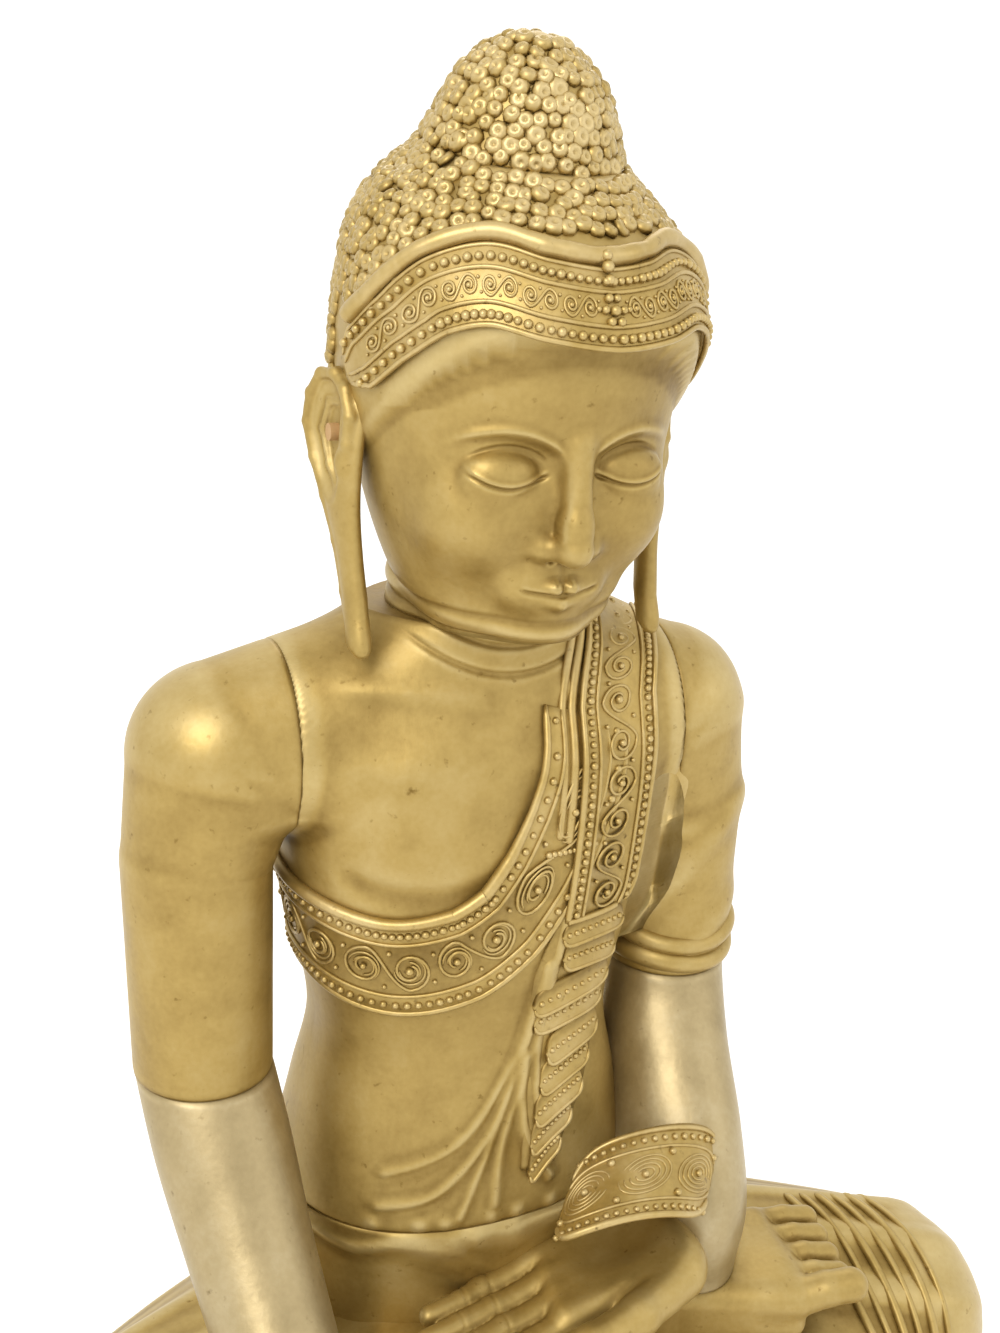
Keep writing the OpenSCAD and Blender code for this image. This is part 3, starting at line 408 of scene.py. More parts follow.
turns = np.linspace(0, 2 * np.pi, 400, endpoint=False)
heights = np.concatenate([np.linspace(SEAM_Z, NECK_Z - 70, 150), np.linspace(NECK_Z - 69, NECK_Z, 84)])
level = np.stack([np.cos(turns), np.sin(turns), 0 * turns], -1)[None] + np.zeros((len(heights), 1, 1))
middle = np.stack([0 * heights, 0 * heights + BODY_Y, heights], -1)[:, None]
trunk = cast(trunk_cut, middle, level, 220)
flat = SEAM_X - 1.5 < np.abs(trunk[..., 0])
trunk += normals(trunk) * (trunk_relief(trunk) * ~flat)[..., None] * [1, 1, 0]
trunk_tone = hollow_shade_and_ridge_wear(trunk, normals(trunk), 4, 0.8)
groove = hump(trunk[..., 2] - SEAM_Z, 1.6) + hump(trunk[..., 2] - NECK_Z, 1.6)
trunk_tone = np.clip(trunk_tone - groove, -1, 1)
trunk -= normals(trunk) * (0.8 * groove)[..., None] * [1, 1, 0]
make("trunk_carving", [solid(trunk, trunk_tone)], CARVED, ["trunk"])


# ---- Upper arms --------------------------------------------------------------------------------
# Each is a separate carved block from the shoulder seam to the elbow seam, pegged on dowels;
# the left one carries the soft ridges of the robe thrown over the shoulder.
def upper_arm(side, elbow_z):
    """Rings in planes that fan out of the armpit, from the upright shoulder seam to the level
    elbow seam; every ring is cast from the arm's middle line."""
    t = np.linspace(0, 1, 170)
    fan = np.clip(t / 0.42, 0, 1) * np.pi / 2
    pit = np.array([side * SEAM_X, BODY_Y + 2, SHOULDER_Z - 72 - 45 * (side > 0)])
    out = np.stack([side * np.sin(fan), 0 * fan, np.cos(fan)], -1)
    reach = mix(72 + 45 * (side > 0), ELBOW_X + side * ARMS_X - SEAM_X, np.clip(t / 0.42, 0, 1))
    middle = pit + out * reach[:, None]
    drop = np.clip((t - 0.42) / 0.58, 0, 1)
    middle = middle + np.stack([0 * t, -6 * drop, -(pit[2] - elbow_z) * drop], -1)
    a = np.linspace(0, 2 * np.pi, 180, endpoint=False)
    way = np.cos(a)[None, :, None] * out[:, None] + np.sin(a)[None, :, None] * np.array([0, 1.0, 0])
    stop = np.where((np.cos(a)[None] < -0.05) & (t[:, None] < 0.42),
                    size(middle - pit)[:, None] / np.maximum(-np.cos(a)[None], 0.05), 200)
    p = cast(lambda q: body_form(q, True), middle[:, None], way, np.minimum(stop, 120))
    edge = hump(np.arange(170) * 1.7, 1.8) + hump((169 - np.arange(170)) * 1.1, 1.8)
    relief = -0.4 * edge[:, None] + 0 * a
    if side > 0:
        wave = p[..., 2] * 0.8 - (p[..., 0] - ELBOW_X) * 0.9 + p[..., 1] * 0.7
        ridge = (0.5 + 0.5 * np.cos(2 * np.pi * wave / 62)) ** 3
        relief = relief + 2.4 * ridge * ease(0.06, 0.2, t)[:, None] * (1 - ease(0.8, 0.97, t))[:, None]
    n = normals(p)
    n[0] = n[0] - n[0, :, :1] * [1, 0, 0]
    p = p + n * relief[..., None]
    p[0, :, 0] = side * SEAM_X
    p[-1, :, 2] = elbow_z
    return solid(p, np.clip(hollow_shade_and_ridge_wear(p, normals(p), 4, 0.8) - edge[:, None], -1, 1))


make("right_upper_arm_carving", [upper_arm(-1, RIGHT_ELBOW_Z)], CARVED, ["right_upper_arm"])
make("left_upper_arm_carving", [upper_arm(1, LEFT_ELBOW_Z)], CARVED, ["left_upper_arm"])


# ---- Forearms ----------------------------------------------------------------------------------
# The bare right forearm reaches down towards the shin; the left one lies in a wide sleeve that
# rests on the thigh. Both are carved blocks joined at the elbow seam and the wrist.
right_wrist = np.array([11 - ELBOW_X, -62, 206])
left_wrist = np.array([100.0, -34, 241])


def limb(middle, rx, ry, pitch, count=150):
    """Rings c + (rx cos a, ry sin a cos pitch, ry sin a sin pitch)."""
    a = np.linspace(0, 2 * np.pi, count, endpoint=False)[None, :, None]
    rx, ry, pitch = (np.asarray(v)[:, None, None] for v in (rx, ry, pitch))
    deep = ry * np.sin(a)
    ring = np.concatenate([rx * np.cos(a), deep * np.cos(pitch), deep * np.sin(pitch)], -1)
    return middle[:, None] + ring


t = np.linspace(0, 1, 130)
sag = np.sin(np.pi * t)
start = np.array([ARMS_X - ELBOW_X, BODY_Y - 8, RIGHT_ELBOW_Z])
middle = start + (right_wrist - start) * t[:, None] + np.stack([0 * t, 12 * sag, -6 * sag], -1)
forearm = limb(middle, mix(43, 34, t ** 1.4) + 1.5 * hump(t - 0.25, 0.2), mix(44, 30, t ** 1.2),
               np.radians(-42) * np.minimum(1, 1.5 * t))
edge = hump(np.arange(130) * 1.6, 2.0)[:, None]
forearm -= normals(forearm) * (1.3 * edge)[..., None] * [1, 1, 0]
make("right_forearm_carving", [solid(forearm, np.clip(hollow_shade_and_ridge_wear(forearm, normals(forearm)) - edge, -1, 1))],
     WORN, ["right_forearm"])

SLEEVE_FOOT = frame_box("left_forearm")[0][2]
# height, middle x, middle y, half width, half depth
SLEEVE = [[SLEEVE_FOOT, 138, 22, 46, 66], [250, 140, 24, 47, 72], [300, 144, 42, 45, 68],
          [345, 151, 66, 43, 54], [LEFT_ELBOW_Z, ARMS_X + ELBOW_X, BODY_Y - 8, 43, 44]]
z = np.linspace(SLEEVE_FOOT, LEFT_ELBOW_Z, 150)
cx, cy, rx, ry = glide(SLEEVE, z)
sleeve = limb(np.stack([cx, cy, z], -1), rx, ry, 0 * z, 200)
wave = sleeve[..., 2] * 0.9 + sleeve[..., 1] * 0.45
ridge = (0.5 + 0.5 * np.cos(2 * np.pi * wave / 44)) ** 3
back = ease(10, 60, sleeve[..., 1] - cy[:, None])
edge = hump(np.arange(150)[::-1] * 1.3, 2.0)[:, None]
lift = 2.2 * ridge * back * ease(210, 240, sleeve[..., 2]) - 1.3 * edge
sleeve += normals(sleeve) * lift[..., None] * [1, 1, 0]
make("left_forearm_carving", [solid(sleeve, np.clip(hollow_shade_and_ridge_wear(sleeve, normals(sleeve)) - edge, -1, 1))],
     WORN, ["left_forearm"])


# ---- Hands -------------------------------------------------------------------------------------
# Each hand is carved from its own block and pegged into the wrist. The right one reaches down
# over the shin with the palm inwards, the left one lies palm up in the lap.
def net(form, low, high, step):
    """Closed skin of form = 0: one point in every grid cell the form crosses, at the mean of the
    crossings on the cell's edges, then moved onto the form: p <- p - form grad / |grad|^2."""
    axes = [np.arange(a, b + step, step) for a, b in zip(low, high)]
    f = form(np.stack(np.meshgrid(*axes, indexing="ij"), -1))
    inside, cells = f < 0, [len(a) - 1 for a in axes]
    where, count, quads = np.zeros((*cells, 3)), np.zeros(cells), []
    for axis in range(3):
        g, s = np.moveaxis(f, axis, 0), np.moveaxis(inside, axis, 0)
        crossed = s[:-1] != s[1:]
        share = np.where(crossed, g[:-1] / np.where(crossed, g[:-1] - g[1:], 1), 0)
        others = [k for k in range(3) if k != axis]
        w, c = np.moveaxis(where, axis, 0), np.moveaxis(count, axis, 0)
        n0, n1 = crossed.shape[1] - 1, crossed.shape[2] - 1
        at = np.arange(cells[axis])[:, None, None]
        for j in (0, 1):
            for k in (0, 1):
                here = crossed[:, j:n0 + j, k:n1 + k]
                c += here
                w[..., axis] += here * (at + share[:, j:n0 + j, k:n1 + k])
                w[..., others[0]] += here * (np.arange(n0)[None, :, None] + j)
                w[..., others[1]] += here * (np.arange(n1)[None, None, :] + k)
        i, j, k = np.nonzero(crossed[:, 1:-1, 1:-1])
        quads.append((axis, i, j, k, s[i, j + 1, k + 1]))
    full = count > 0
    number = np.full(cells, -1)
    number[full] = np.arange(full.sum())
    faces = []
    for axis, i, j, k, first in quads:
        n = np.moveaxis(number, axis, 0)
        q = np.stack([n[i, j, k], n[i, j + 1, k], n[i, j + 1, k + 1], n[i, j, k + 1]], -1)
        faces.append(np.where((first == (axis != 1))[:, None], q, q[:, ::-1]))
    p = np.asarray(low, float) + step * where[full] / count[full][:, None]
    for _ in range(3):
        slope = np.stack([form(p + d) - form(p - d) for d in 0.2 * np.eye(3)], -1) / 0.4
        move = form(p)[:, None] * slope / np.maximum(size(slope)[:, None] ** 2, 0.25)
        p = p - move * np.minimum(1, 0.7 * step / np.maximum(size(move), 1e-9))[:, None]
    return p, np.concatenate(faces)


def carved(form, low, high, step, tone_step=3.0):
    """Net of a form with its tone: the form's height a few millimetres along the slope tells hollows (it
    grows slower than the distance) from ridges. The tone darkens the hollows as painted shade and makes the
    ridges paler, as rubbed paint."""
    p, quads = net(form, low, high, step)
    slope = unit(np.stack([form(p + d) - form(p - d) for d in 0.4 * np.eye(3)], -1))
    tone = (form(p - slope * tone_step) + tone_step) * 1.6 + (form(p + slope * tone_step) - tone_step) * 1.6
    return p, quads, np.zeros((0, 4), int), np.clip(tone, -1, 1)


def chain(p, joints, soft):
    """Rods between joints given as (x, y, z, radius), joined with fillets of size soft."""
    d = 1e3
    for a, b in zip(joints[:-1], joints[1:]):
        d = join(d, rod(p, a[:3], b[:3], a[3], b[3]), soft)
    return d


def nail(p, d, tip, way, face, radius):
    """A flat nail laid into the last joint: a shallow egg with a groove round it."""
    way, face = unit(np.array(way, float)), unit(np.array(face, float))
    side = np.cross(way, face)
    q = p - (np.array(tip, float) - way * radius * 0.4 + face * radius * 0.72)
    q = np.stack([q @ way, q @ face, q @ side], -1)
    plate = egg(q, (0, 0, 0), np.array([radius * 0.95, radius * 0.36, radius * 0.72]))
    return np.minimum(np.maximum(d, 0.7 - np.abs(plate)) + 0.0, join(d + 0.15, plate, 0.6))


def right_hand_form(p):
    w = right_wrist + [0, -8, -6]
    palm = 1e3
    for i in range(4):
        palm = join(palm, rod(p, w + [-16 + 11 * i, -2, 2], w + [-27 + 18 * i, -84, -50], 18, 12.5), 9)
    d = palm
    for i, short in enumerate([8, 2, 0, 12]):
        x = w[0] - 27 + 18.5 * i
        finger = chain(p, [(x, w[1] - 80, w[2] - 47, 11.6), (x, w[1] - 100, w[2] - 70, 10.2),
                           (x, w[1] - 117, w[2] - 98, 10.1), (x, w[1] - 125, w[2] - 134 + short, 9.3),
                           (x, w[1] - 127, w[2] - 168 + short, 7.2)], 3)
        finger = nail(p, finger, (x, w[1] - 127, w[2] - 168 + short), (0, -0.05, -1), (0, -1, 0.05), 7.4)
        d = join(d, finger, 3.0)
    thumb = chain(p, [(w[0] + 18, w[1] - 14, w[2] - 8, 16), (w[0] + 38, w[1] - 50, w[2] - 40, 12.5),
                      (w[0] + 46, w[1] - 70, w[2] - 60, 10.6), (w[0] + 48, w[1] - 94, w[2] - 86, 8.2)], 5)
    d = join(d, thumb, 9)
    return cut(d, (p - w) @ unit(np.array([0, 1.0, 0.8])) - 11, 1.0)


def left_hand_form(p):
    w = left_wrist
    palm = 1e3
    for i in range(4):
        bone = rod(p, w + [4, -20 + 14 * i, 0], w + [-82 + 4 * i, -24 + 18 * i, -14], 17, 13.5)
        palm = join(palm, bone, 10)
    palm = -join(-palm, egg(p, w + [-44, 4, 30], np.array([40, 27, 24])), 10)
    d = palm
    for i, short in enumerate([12, 2, 0, 10]):
        y = w[1] - 26 + 18.5 * i
        finger = chain(p, [(w[0] - 78, y, w[2] - 13, 11), (w[0] - 100, y - 2, w[2] - 20, 10),
                           (w[0] - 120, y - 4, w[2] - 21, 9.8), (w[0] - 146 + short, y - 10, w[2] - 20, 8.8),
                           (w[0] - 172 + short, y - 16, w[2] - 16, 6.8)], 3)
        crease = (hump(p[..., 0] - (w[0] - 121 + short * 0.5), 1.3)
                  + hump(p[..., 0] - (w[0] - 146 + short), 1.2))
        finger = finger + 0.7 * crease * (p[..., 2] > w[2] - 16)
        d = join(d, finger, 2.6)
    thumb = chain(p, [(w[0] - 2, w[1] - 28, w[2] - 2, 16), (w[0] - 46, w[1] - 50, w[2] - 1, 12.5),
                      (w[0] - 84, w[1] - 58, w[2] - 2, 10.4), (w[0] - 116, w[1] - 54, w[2] - 4, 7.8)], 5)
    thumb = nail(p, thumb, (w[0] - 116, w[1] - 54, w[2] - 4), (-1, 0.1, 0), (0, -0.75, 0.6), 7.8)
    d = join(d, thumb, 7)
    return cut(d, (p - w) @ unit(np.array([1.0, 0.5, 0.1])) - 22, 1.0)


low, high = frame_box("right_hand")
make("right_hand_carving", [carved(right_hand_form, low - 7, high + 7, 1.7)], CARVED, ["right_hand"])
low, high = frame_box("left_hand")
make("left_hand_carving", [carved(left_hand_form, low - 7, high + 7, 1.7)], CARVED, ["left_hand"])


# ---- Feet --------------------------------------------------------------------------------------
# Both feet lie sole up on the thighs, carved as flat slabs with five toes of nearly one length;
# the left one is the right one mirrored. A peg holds each.
def foot_form(p, side):
    """Sole slab, heel and toes, in the foot's own frame turned by 14 degrees on the thigh."""
    q = p * [side, 1, 1] - [52, 20, 172]
    c, s = np.cos(np.radians(14)), np.sin(np.radians(14))
    q = np.stack([q[..., 0] * c - q[..., 1] * s, q[..., 0] * s + q[..., 1] * c, q[..., 2]], -1)
    x, y, z = q[..., 0], q[..., 1], q[..., 2]
    half = np.interp(x, [-10, 0, 30, 80, 130, 170, 185], [24, 36, 41, 39, 48, 51, 50])
    slab = np.stack([np.maximum(np.abs(x - 84) - 76, 0), np.maximum(np.abs(y) - half + 14, 0),
                     np.maximum(np.abs(z - 2) - 9, 0)], -1)
    d = size(slab) - 14
    arch = egg(q, (84, 16, 34), np.array([52, 34, 17]))
    d = cut(d, -arch, 12)
    ball = egg(q, (152, -14, 13), np.array([26, 34, 13]))
    d = join(d, ball, 10)
    for i in range(5):
        big = 3.2 if i == 0 else 0.0
        lift = 9.0 if i == 0 else 0.0
        toe = chain(q, [(166, -38 + 19.5 * i, 11, 10.2 + big),
                        (186, -40 + 20 * i, 14 + lift * 0.4, 8.6 + big),
                        (204, -41 + 20.4 * i, 11 + lift, 9.4 + big * 0.8)], 2.5)
        d = join(d, toe, 3.2)
    return d


for side, node in ((1, "right_foot"), (-1, "left_foot")):
    low, high = frame_box(node)
    make(node + "_carving", [carved(lambda p: foot_form(p, side), low - 7, high + 9, 1.9)], CARVED, [node])


# ---- Head --------------------------------------------------------------------------------------
# Neck, face and hair cap carved in one block. The face is a calm, even one: brows and closed lids
# in equal arcs, the nose a third of the face long, a small smile.
HEAD_AT = np.array([0, BODY_Y - 24, NECK_Z + 136])
TILT = np.radians(12)
HAIR_A, HAIR_B = 101.0, 116.0
KNOT_FOOT, KNOT_BACK = 128, 24
# height over the head's middle, size as a share of the hair cap's half width
CAP = [[-70, 0.70], [-40, 0.90], [0, 0.985], [40, 1], [70, 0.97], [90, 0.89], [104, 0.78],
       [116, 0.655], [126, 0.56], [134, 0.51]]
# height, half width, front depth, back depth of the face block
FACE = [[-140, 28, 78, -30], [-126, 50, 90, -10], [-100, 72, 96, 30], [-60, 86, 98, 60],
        [-10, 94, 99, 80], [40, 96, 98, 90], [90, 88, 90, 90], [126, 50, 60, 60]]


def to_head(p):
    """Into the upright frame of the head: shift to its middle, then turn back by the tilt."""
    q, c, s = p - HEAD_AT, np.cos(TILT), np.sin(TILT)
    return np.stack([q[..., 0], q[..., 1] * c + q[..., 2] * s, q[..., 2] * c - q[..., 1] * s], -1)


def from_head(q):
    c, s = np.cos(TILT), np.sin(TILT)
    return HEAD_AT + np.stack([q[..., 0], q[..., 1] * c - q[..., 2] * s, q[..., 1] * s + q[..., 2] * c], -1)


def cap_point(a, h, out=0.0):
    """Point of the hair cap at an angle from the front (radians) and a height, out from the skin."""
    s, = glide(CAP, h)
    rx, ry = s * HAIR_A + out, s * HAIR_B + out
    y = -ry * np.cos(a) + KNOT_BACK * np.clip((h - 60) / 70, 0, 1)
    return np.stack([rx * np.sin(a), y, h + 0 * a], -1)


def features(q, face):
    """Brows, eye hollows and lids, nose, lips and chin added to the plain face block."""
    side = np.abs(q[..., 0])
    m = np.stack([side, q[..., 1], q[..., 2]], -1)
    d = -join(-face, egg(m, (37, -103, -13), np.array([25, 15, 15])), 14)
    d = join(d, egg(m, (37, -82.5, -16), np.array([21.5, 14.5, 12.5])), 2.5)
    arc = 8.5 - 0.0125 * (side - 38) ** 2
    d = d - 2.0 * hump(q[..., 2] - arc, 3.4) * ease(7, 16, side) * ease(-72, -56, -side) * (q[..., 1] < 0)
    bridge = rod(q, (0, -98, 2), (0, -108, -40), 6.2, 8.6)
    wings = rod(m, (0, -108, -55), (13, -101, -57), 8.4, 6.6)
    tip = join(rod(q, (0, -108, -40), (0, -112.5, -53), 8.6, 9.6), wings, 6)
    d = join(d, join(bridge, tip, 6), 9)
    d = -join(-d, rod(m, (6, -110, -64), (8.5, -103, -64), 2.8, 3.0), 2.5)
    d = join(d, egg(m, (43, -72, -48), np.array([27, 25, 27])), 26)
    mouth = egg(q, (0, -94, -85), np.array([30, 13, 17]))
    d = join(d, mouth, 12)
    upper = rod(m, (5, -106.5, -79.2), (25.5, -94.5, -82.0), 4.1, 1.8)
    lower = rod(m, (0, -105.6, -88.6), (18, -98.5, -86.4), 4.9, 2.4)
    d = join(join(d, upper, 3.0), lower, 3.0)
    d = join(d, egg(q, (0, -84, -116), np.array([21, 17, 15])), 18)
    return d


def head_form(p):
    q = to_head(p)
    s, = glide(CAP, q[..., 2])
    y = q[..., 1] - KNOT_BACK * np.clip((q[..., 2] - 60) / 70, 0, 1)
    cap = (np.hypot(q[..., 0] / (s * HAIR_A), y / (s * HAIR_B)) - 1) * s * HAIR_A
    cap = np.maximum(cut(cap, -46 - q[..., 2] - 1.1 * np.minimum(q[..., 1], 16), 9), q[..., 2] - KNOT_FOOT)
    a, f, b = glide(FACE, q[..., 2])
    half = (f + b) / 2
    face = (np.hypot(q[..., 0] / a, (q[..., 1] - (b - f) / 2) / half) - 1) * np.minimum(a, half)
    face = features(q, cut(np.maximum(face, q[..., 2] - 76), -138 - q[..., 2], 14))
    neck = rod(p, (0, BODY_Y - 2, NECK_Z - 40), (0, BODY_Y - 12, NECK_Z + 80), 62, 56)
    return join(join(face, cap, 9), neck, 16)


def face_relief(q, p):
    """Fine cuts: lid lines, brow edges, mouth line and the groove under the nose; three creases
    run round the neck."""
    side, z, front = np.abs(q[..., 0]), q[..., 2], ease(40, 60, -q[..., 1])
    inside = ease(-24, -20, -np.abs(side - 37))
    lid = -22.2 + 0.0105 * (side - 37) ** 2
    cuts = -1.5 * hump(z - lid, 1.1) * inside
    cuts += 0.9 * hump(z - lid - 2.6, 1.5) * inside
    cuts -= 0.9 * hump(z - (-1.5 - 0.016 * (side - 37) ** 2), 1.3) * ease(-22, -16, -np.abs(side - 37))
    cuts -= 1.5 * hump(z - (-83.4 + 0.0032 * side ** 2), 1.2) * ease(-25.5, -21, -side)
    cuts -= 1.3 * hump(side, 3.0) * ease(-77, -73, z) * (1 - ease(-67, -63, z))
    crease = sum(-2.2 * hump(p[..., 2] - NECK_Z - h - 0.10 * (p[..., 1] - BODY_Y), 2.6) for h in (9, 25, 41))
    swell = sum(1.6 * hump(p[..., 2] - NECK_Z - h - 0.10 * (p[..., 1] - BODY_Y), 6) for h in (17, 33))
    low = 1 - ease(-112, -100, z)
    return cuts * front + (crease + swell) * low


head_eye = HEAD_AT - [0, 6, 136 * 0.34]
s = np.linspace(0, 2 * np.pi, 400, endpoint=False)
head_turns = -np.pi / 2 + s - 0.5 * np.sin(s)
rows = np.concatenate([np.linspace(0, 0.09, 20)[:-1], np.linspace(0.09, 0.56, 170)[:-1],
                       np.linspace(0.56, 1, 50)])
level = np.stack([np.cos(head_turns), np.sin(head_turns), 0 * s], -1)
seam = cast(head_form, head_eye * [1, 1, 0] + [0, 0, NECK_Z], level, 140)
start = np.arctan2(NECK_Z - head_eye[2], size(seam[..., :2] - head_eye[:2]))
tilt = mix(start, np.radians(89.3), rows[:, None])[..., None]
head = cast(head_form, head_eye, level * np.cos(tilt) + [0, 0, 1] * np.sin(tilt), 330, 90)
head[0, :, 2] = NECK_Z
head_out = normals(head)
head[1:] += (head_out * face_relief(to_head(head), head)[..., None])[1:]
head_tone = hollow_shade_and_ridge_wear(head, normals(head), 3, 0.5)
make("head_carving", [solid(head, head_tone)], CARVED, ["head"])


# ---- Ears --------------------------------------------------------------------------------------
# Long ears carved apart and pegged to the head: a rolled rim round a hollow shell, a small flap
# before the ear hole, and a lobe drawn down to the shoulder.
# share of the length, forward place, outward place, half width, half thickness
EAR = [[0, 4, 0, 9, 5], [0.08, 2, 2, 20, 7], [0.25, -3, 5, 23, 8], [0.45, -15, 4, 17, 7],
       [0.65, -30, 1, 10, 6], [0.85, -44, -1, 9, 6], [0.96, -54, -1, 8, 6], [1, -58, -1, 3, 3]]
EAR_LEN, EAR_TOP = 150, 8
ear_base = glide(CAP, 0.0)[0] * HAIR_A - 2


def ear_form(p, side):
    """Slab along the line of EAR, hollowed between the rims, with the rim as a ring of rods."""
    q = to_head(p) * [side, 1, 1]
    t = (EAR_TOP - q[..., 2]) / EAR_LEN
    fwd, out, wide, thick = glide(EAR, np.clip(t, 0, 1))
    u = q[..., 1] - fwd
    v = (q[..., 0] - ear_base - out - 0.25 * (1 - np.clip(t, 0, 1)) * u) * 0.97
    end = np.maximum(t - 1, -t) * EAR_LEN
    slab = (np.hypot(u / (wide + 1.5), v / (thick + 0.5)) - 1) * thick
    slab = cut(slab, end, 3)
    local = np.stack([u, v, EAR_LEN * t], -1)
    shell = egg(local, (2, 9.5, 38), np.array([16, 9.5, 33]))
    d = cut(slab, -shell, 2)
    rim = [(-13, 2, 50), (-19, 4.5, 34), (-19, 6, 19), (-11, 6.5, 7), (1, 6.5, 2), (13, 6.5, 6),
           (20, 6.5, 19), (21.5, 6, 36), (18, 5, 54), (12, 4, 72), (8.5, 3, 94), (8, 2.5, 120), (2, 2.5, 139)]
    for a, b in zip(rim[:-1], rim[1:]):
        d = join(d, rod(local, a, b, 3.0, 3.0), 2.2)
    inner = [(-3, 1.5, 16), (7, 2.5, 20), (11, 2.5, 36), (6, 2, 54), (-3, 2, 64)]
    for a, b in zip(inner[:-1], inner[1:]):
        d = join(d, rod(local, a, b, 1.7, 1.7), 2.4)
    flap = egg(local, (-14, 3, 46), np.array([5, 5, 8]))
    return join(d, flap, 3)


for side, node in ((-1, "right_ear"), (1, "left_ear")):
    low, high = frame_box(node)
    ear = carved(lambda p: ear_form(p, side), low - 9, high + 9, 1.25, 1.6)
    make(node + "_carving", [ear], CARVED, [node])


# ---- Topknot and curls -------------------------------------------------------------------------
# The knob on the crown is its own block of wood. Over it and the cap sit rows of small curls,
# each a pinch of lacquer putty rolled to a point and pressed on while soft.
KNOT_TOP = 190
# height over the knot's foot as a share, radius as a share of the cap's half width
KNOT = [[0, 0.55], [0.18, 0.505], [0.45, 0.44], [0.7, 0.34], [0.88, 0.20], [0.97, 0.10], [1, 0.02]]
PITCH, CURL_H = 8.6, 5.2


def knot_point(a, t, out=0.0):
    r = glide(KNOT, t)[0] * HAIR_A + out
    z = KNOT_FOOT + t * (KNOT_TOP - KNOT_FOOT) + out * t + 0 * a
    return np.stack([r * np.sin(a), KNOT_BACK - r * np.cos(a), z], -1)


a = np.linspace(0, 2 * np.pi, 96, endpoint=False)
knot = from_head(knot_point(a[None], np.linspace(0, 1, 48)[:, None]))
make("topknot_carving", [solid(knot)], CARVED, ["topknot"])


def rows_up(profile, t, last, rise, r, gap):
    """Places along a profile, a gap apart along its slope."""
    places = []
    while t < last:
        places.append(t)
        d = gap / rise / 4
        slope = r * (glide(profile, t + d)[0] - glide(profile, t)[0]) / d
        t = t + gap / np.hypot(rise, slope)
    return places


def frames(n, up):
    """Turned axes (side, up along the skin, out) for normals n."""
    n = unit(n)
    side = unit(np.cross(up, n))
    return np.stack([side, np.cross(n, side), n], -1)


def scatter(shape, places, turned, scales):
    """Copies of a small closed shape (points, quads, caps, tones), turned and scaled at places."""
    v, quads, caps, tone = shape
    k = len(places)
    p = places[:, None] + np.einsum("kij,kvj->kvi", turned, v[None] * scales[:, None])
    step = (np.arange(k) * len(v))[:, None, None]
    return (p.reshape(-1, 3), (quads[None] + step).reshape(-1, 4),
            (caps[None] + step).reshape(-1, caps.shape[1]), np.tile(tone, k))


def turned_shape(profile, sides, twist=0.0, tone=(-0.9, 0.9)):
    """Rings of (radius, height), each turned a little more than the last, flat at both ends. The tone runs up
    the height, from painted shade at the foot to a paler top.
    """
    r, h = np.array(profile).T
    a = np.linspace(0, 2 * np.pi, sides, endpoint=False)[None] + twist * np.linspace(0, 1, len(r))[:, None]
    p = np.stack([r[:, None] * np.cos(a), r[:, None] * np.sin(a), h[:, None] + 0 * a], -1)
    level = (h - h.min()) / (h.max() - h.min())
    v, quads, caps, t = solid(p, mix(tone[0], tone[1], level)[:, None])
    quads, caps = outward(v, quads, caps)
    return v, quads, caps, t


# a curl ends in a dimple: its last two rings lie lower than the one before
CURL = turned_shape([(0.58, -0.25), (0.58, 0.12), (0.48, 0.46), (0.33, 0.66), (0.19, 0.64),
                     (0.07, 0.40)], 8, 1.5)


def hairline(side):
    """Lowest curls by the angle from the front: over the band, behind the ears, at the nape."""
    side = np.degrees(side)
    return np.where(side < 80, band_mid(np.radians(side)) + BAND_W / 2 + 8.5, np.where(side < 104, 46, -60))


# height of the band's middle line over the head's middle, at degrees from the front
BAND = [[0, 79], [20, 81], [38, 83], [54, 72], [68, 48], [80, 24], [88, 10]]
BAND_W = 34


def band_mid(a):
    return glide(BAND, np.abs(np.degrees(a)))[0]


rng = np.random.default_rng(7)


def curls(point, rows, wide, keep):
    """Rows of curls on point(a, row); each row is shifted by half a pitch, sizes vary a little."""
    places, outs, ups = [], [], []
    for k, h in enumerate(rows):
        n = max(1, int(2 * np.pi * wide(h) / PITCH))
        a = (np.arange(n) + (k % 2) / 2) * 2 * np.pi / n + rng.normal(0, 0.15, n) * PITCH / wide(h)
        a = (a + np.pi) % (2 * np.pi) - np.pi
        a = a[keep(a, h)]
        e = (rows[-1] - rows[0]) / 60
        up = point(a, np.full(len(a), h + e)) - point(a, np.full(len(a), h - e))
        side = point(a + 0.02, np.full(len(a), h)) - point(a - 0.02, np.full(len(a), h))
        places.append(point(a, np.full(len(a), h)) + unit(up) * rng.normal(0, 0.14 * PITCH, (len(a), 1)))
        outs.append(np.cross(side, up))
        ups.append(up)
    places, outs, ups = (from_head(np.concatenate(v)) for v in (places, outs, ups))
    outs, ups = outs - from_head(np.zeros(3)), ups - from_head(np.zeros(3))
    outs = unit(outs) + rng.normal(0, 0.18, outs.shape)
    count = len(places)
    grow = 1.13 + rng.normal(0, 0.11, (count, 1))
    scales = np.concatenate([PITCH * grow, PITCH * grow, CURL_H * (1 + rng.normal(0, 0.12, (count, 1)))], 1)
    return scatter(CURL, places, frames(outs, ups), scales)


